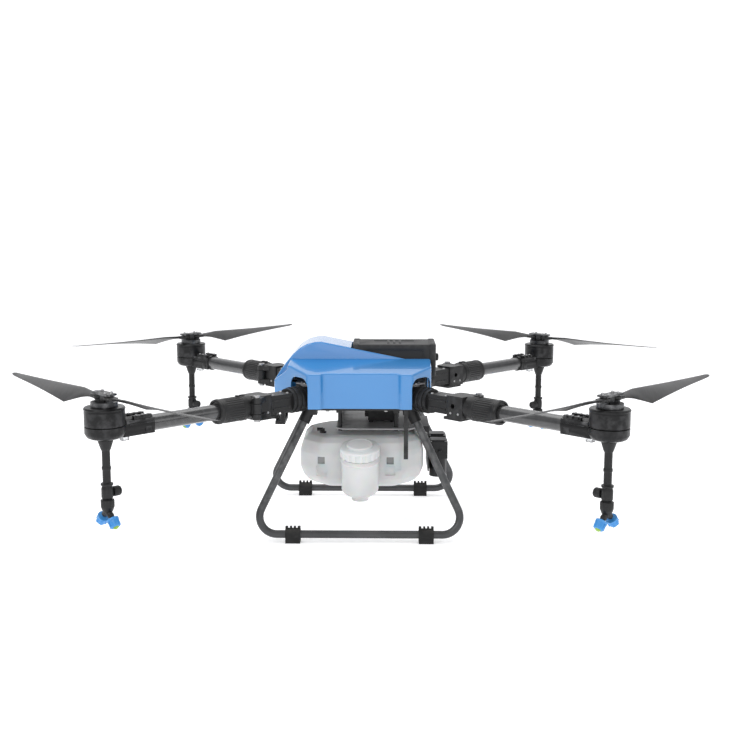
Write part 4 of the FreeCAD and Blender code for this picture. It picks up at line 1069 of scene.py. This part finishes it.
def buildFrame():
    black, sheet, steel = finish["mouldedNylon"], finish["greySheet"], finish["brightSteel"]
    softenNode("frame_beams", 0.0014, [black])
    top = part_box("top_plate")[1].z
    spots = [(sx * 0.128 + dx, sy * 0.128 + dy, top - 0.0002) for sx in (-1, 1) for sy in (-1, 1)
             for dx, dy in ((0, 0), (sx * -0.022, sy * 0.008), (sx * 0.008, sy * -0.022))]
    softenNode("top_plate", 0.0006, [sheet, steel], boltsAt(spots, 0.0034, 0.0026))
    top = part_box("battery_tray")[1].z
    softenNode("battery_tray", 0.0006, [sheet, steel],
               boltsAt([(x, y, top - 0.0002) for x in (-0.097, 0.103) for y in (-0.066, 0.066)], 0.0034, 0.0020))
    softenNode("lower_deck", 0.0006, [sheet, steel])
    softenNode("deck_hangers", 0.0007, [black])
    softenNode("leg_clamps", 0.0010, [black])
    softenNode("nose_bracket", 0.0008, [black])
    softenNode("pump_bracket", 0.0006, [black])


def buildGear():
    for side in ("left", "right"):
        node = frame["nodes"]["landing_gear_" + side]
        node.data.materials.clear()
        node.data.materials.append(finish["gearTube"])
        node.data.polygons.foreach_set("use_smooth", [True] * len(node.data.polygons))
    softenNode("skid_pads", 0.0010, [finish["padRubber"]])


def pumpFittings(bm):
    low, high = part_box("spray_pumps")
    for y in (-0.036, 0.036):
        for dx in (-0.017, 0.017):
            for dy in (-0.017, 0.017):
                bolt(bm, (low.x + 0.0225 + dx, y + dy, high.z - 0.0044), 0.0024, 0.0022, material=1)
        for z in (0.012, 0.026):  # ribs round the head
            slab(bm, (low.x + 0.0005, high.x), (y - 0.0222, y + 0.0222),
                 (low.z + 0.045 + z, low.z + 0.047 + z), 0.002, 0.0005)


def buildEquipment():
    box, steel = finish["deviceBlack"], finish["brightSteel"]
    softenNode("spray_pumps", 0.0012, [finish["nozzleBlack"], steel], pumpFittings)
    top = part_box("flight_controller")[1].z
    softenNode("flight_controller", 0.0012, [box, steel],
               boltsAt(cornerPoints("flight_controller", 0.008, 0.008, top - 0.0003), 0.0018, 0.0003))
    softenNode("gps_puck", 0.0014, [box])
    softenNode("power_module", 0.0010, [box, steel])
    softenNode("fpv_camera", 0.0012, [box, finish["lensGlass"]])


buildFrame()
buildGear()
buildEquipment()
print("airframe and equipment built")


# stage, lights and camera
def stageMaterial():
    material = bpy.data.materials.new("paleFloor")
    material.use_nodes = True
    shader = material.node_tree.nodes["Principled BSDF"]
    shader.inputs["Base Color"].default_value = (0.90, 0.90, 0.91, 1)
    shader.inputs["Roughness"].default_value = 0.75
    shader.inputs["Emission Color"].default_value = (1.0, 1.0, 1.0, 1)
    shader.inputs["Emission Strength"].default_value = 0.42
    return material


def buildStage():
    # floor that curves up into a backdrop
    bm = bmesh.new()
    profile = [(-9.0, 0.0), (5.0, 0.0)]
    profile += [(5.0 + 3 * math.sin(a), 3 - 3 * math.cos(a)) for a in (math.pi / 2 * k / 12 for k in range(1, 13))]
    profile += [(8.0, 9.0)]
    rows = [[bm.verts.new((x, y, z)) for y, z in profile] for x in (-14.0, 14.0)]
    for k in range(len(profile) - 1):
        bm.faces.new((rows[0][k], rows[0][k + 1], rows[1][k + 1], rows[1][k]))
    mesh = meshOf(bm, "floor")
    mesh.materials.append(stageMaterial())
    floor = bpy.data.objects.new("floor", mesh)
    bpy.context.scene.collection.objects.link(floor)


lights = [dict(name="keyLeft", spot=(-2.4, -2.6, 3.0), size=2.4, power=60),
          dict(name="fillRight", spot=(3.0, -1.8, 1.8), size=2.6, power=24),
          dict(name="topSoft", spot=(-0.2, 0.6, 3.2), size=3.0, power=48),
          dict(name="frontLow", spot=(0.2, -3.6, 1.0), size=2.2, power=14)]


def buildLights():
    aim = Vector((0, 0, 0.3))
    for light in lights:
        data = bpy.data.lights.new(light["name"], "AREA")
        data.shape = "DISK"
        data.size = light["size"]
        data.energy = light["power"]
        lamp = bpy.data.objects.new(light["name"], data)
        lamp.location = light["spot"]
        lamp.rotation_euler = (aim - lamp.location).to_track_quat("-Z", "Y").to_euler()
        bpy.context.scene.collection.objects.link(lamp)
    world = bpy.data.worlds.new("studio")
    world.use_nodes = True
    world.node_tree.nodes["Background"].inputs["Color"].default_value = (0.97, 0.98, 1.0, 1)
    world.node_tree.nodes["Background"].inputs["Strength"].default_value = 0.52
    bpy.context.scene.world = world


camera = dict(spot=(0.0526, -2.6493, 0.4329), yaw=0.0164, pitch=0.1464, lens=54.53)  # height over the motors


def buildCamera():
    data = bpy.data.cameras.new("camera")
    data.lens = camera["lens"]
    data.sensor_width = 36
    view = bpy.data.objects.new("camera", data)
    view.location = Vector(camera["spot"]) + Vector((0, 0, motorHeight))
    view.rotation_euler = (math.pi / 2 - camera["pitch"], 0, camera["yaw"])
    bpy.context.scene.collection.objects.link(view)
    bpy.context.scene.camera = view


buildStage()
buildLights()
buildCamera()
bpy.context.scene.view_settings.view_transform = "Standard"
print("stage ready")
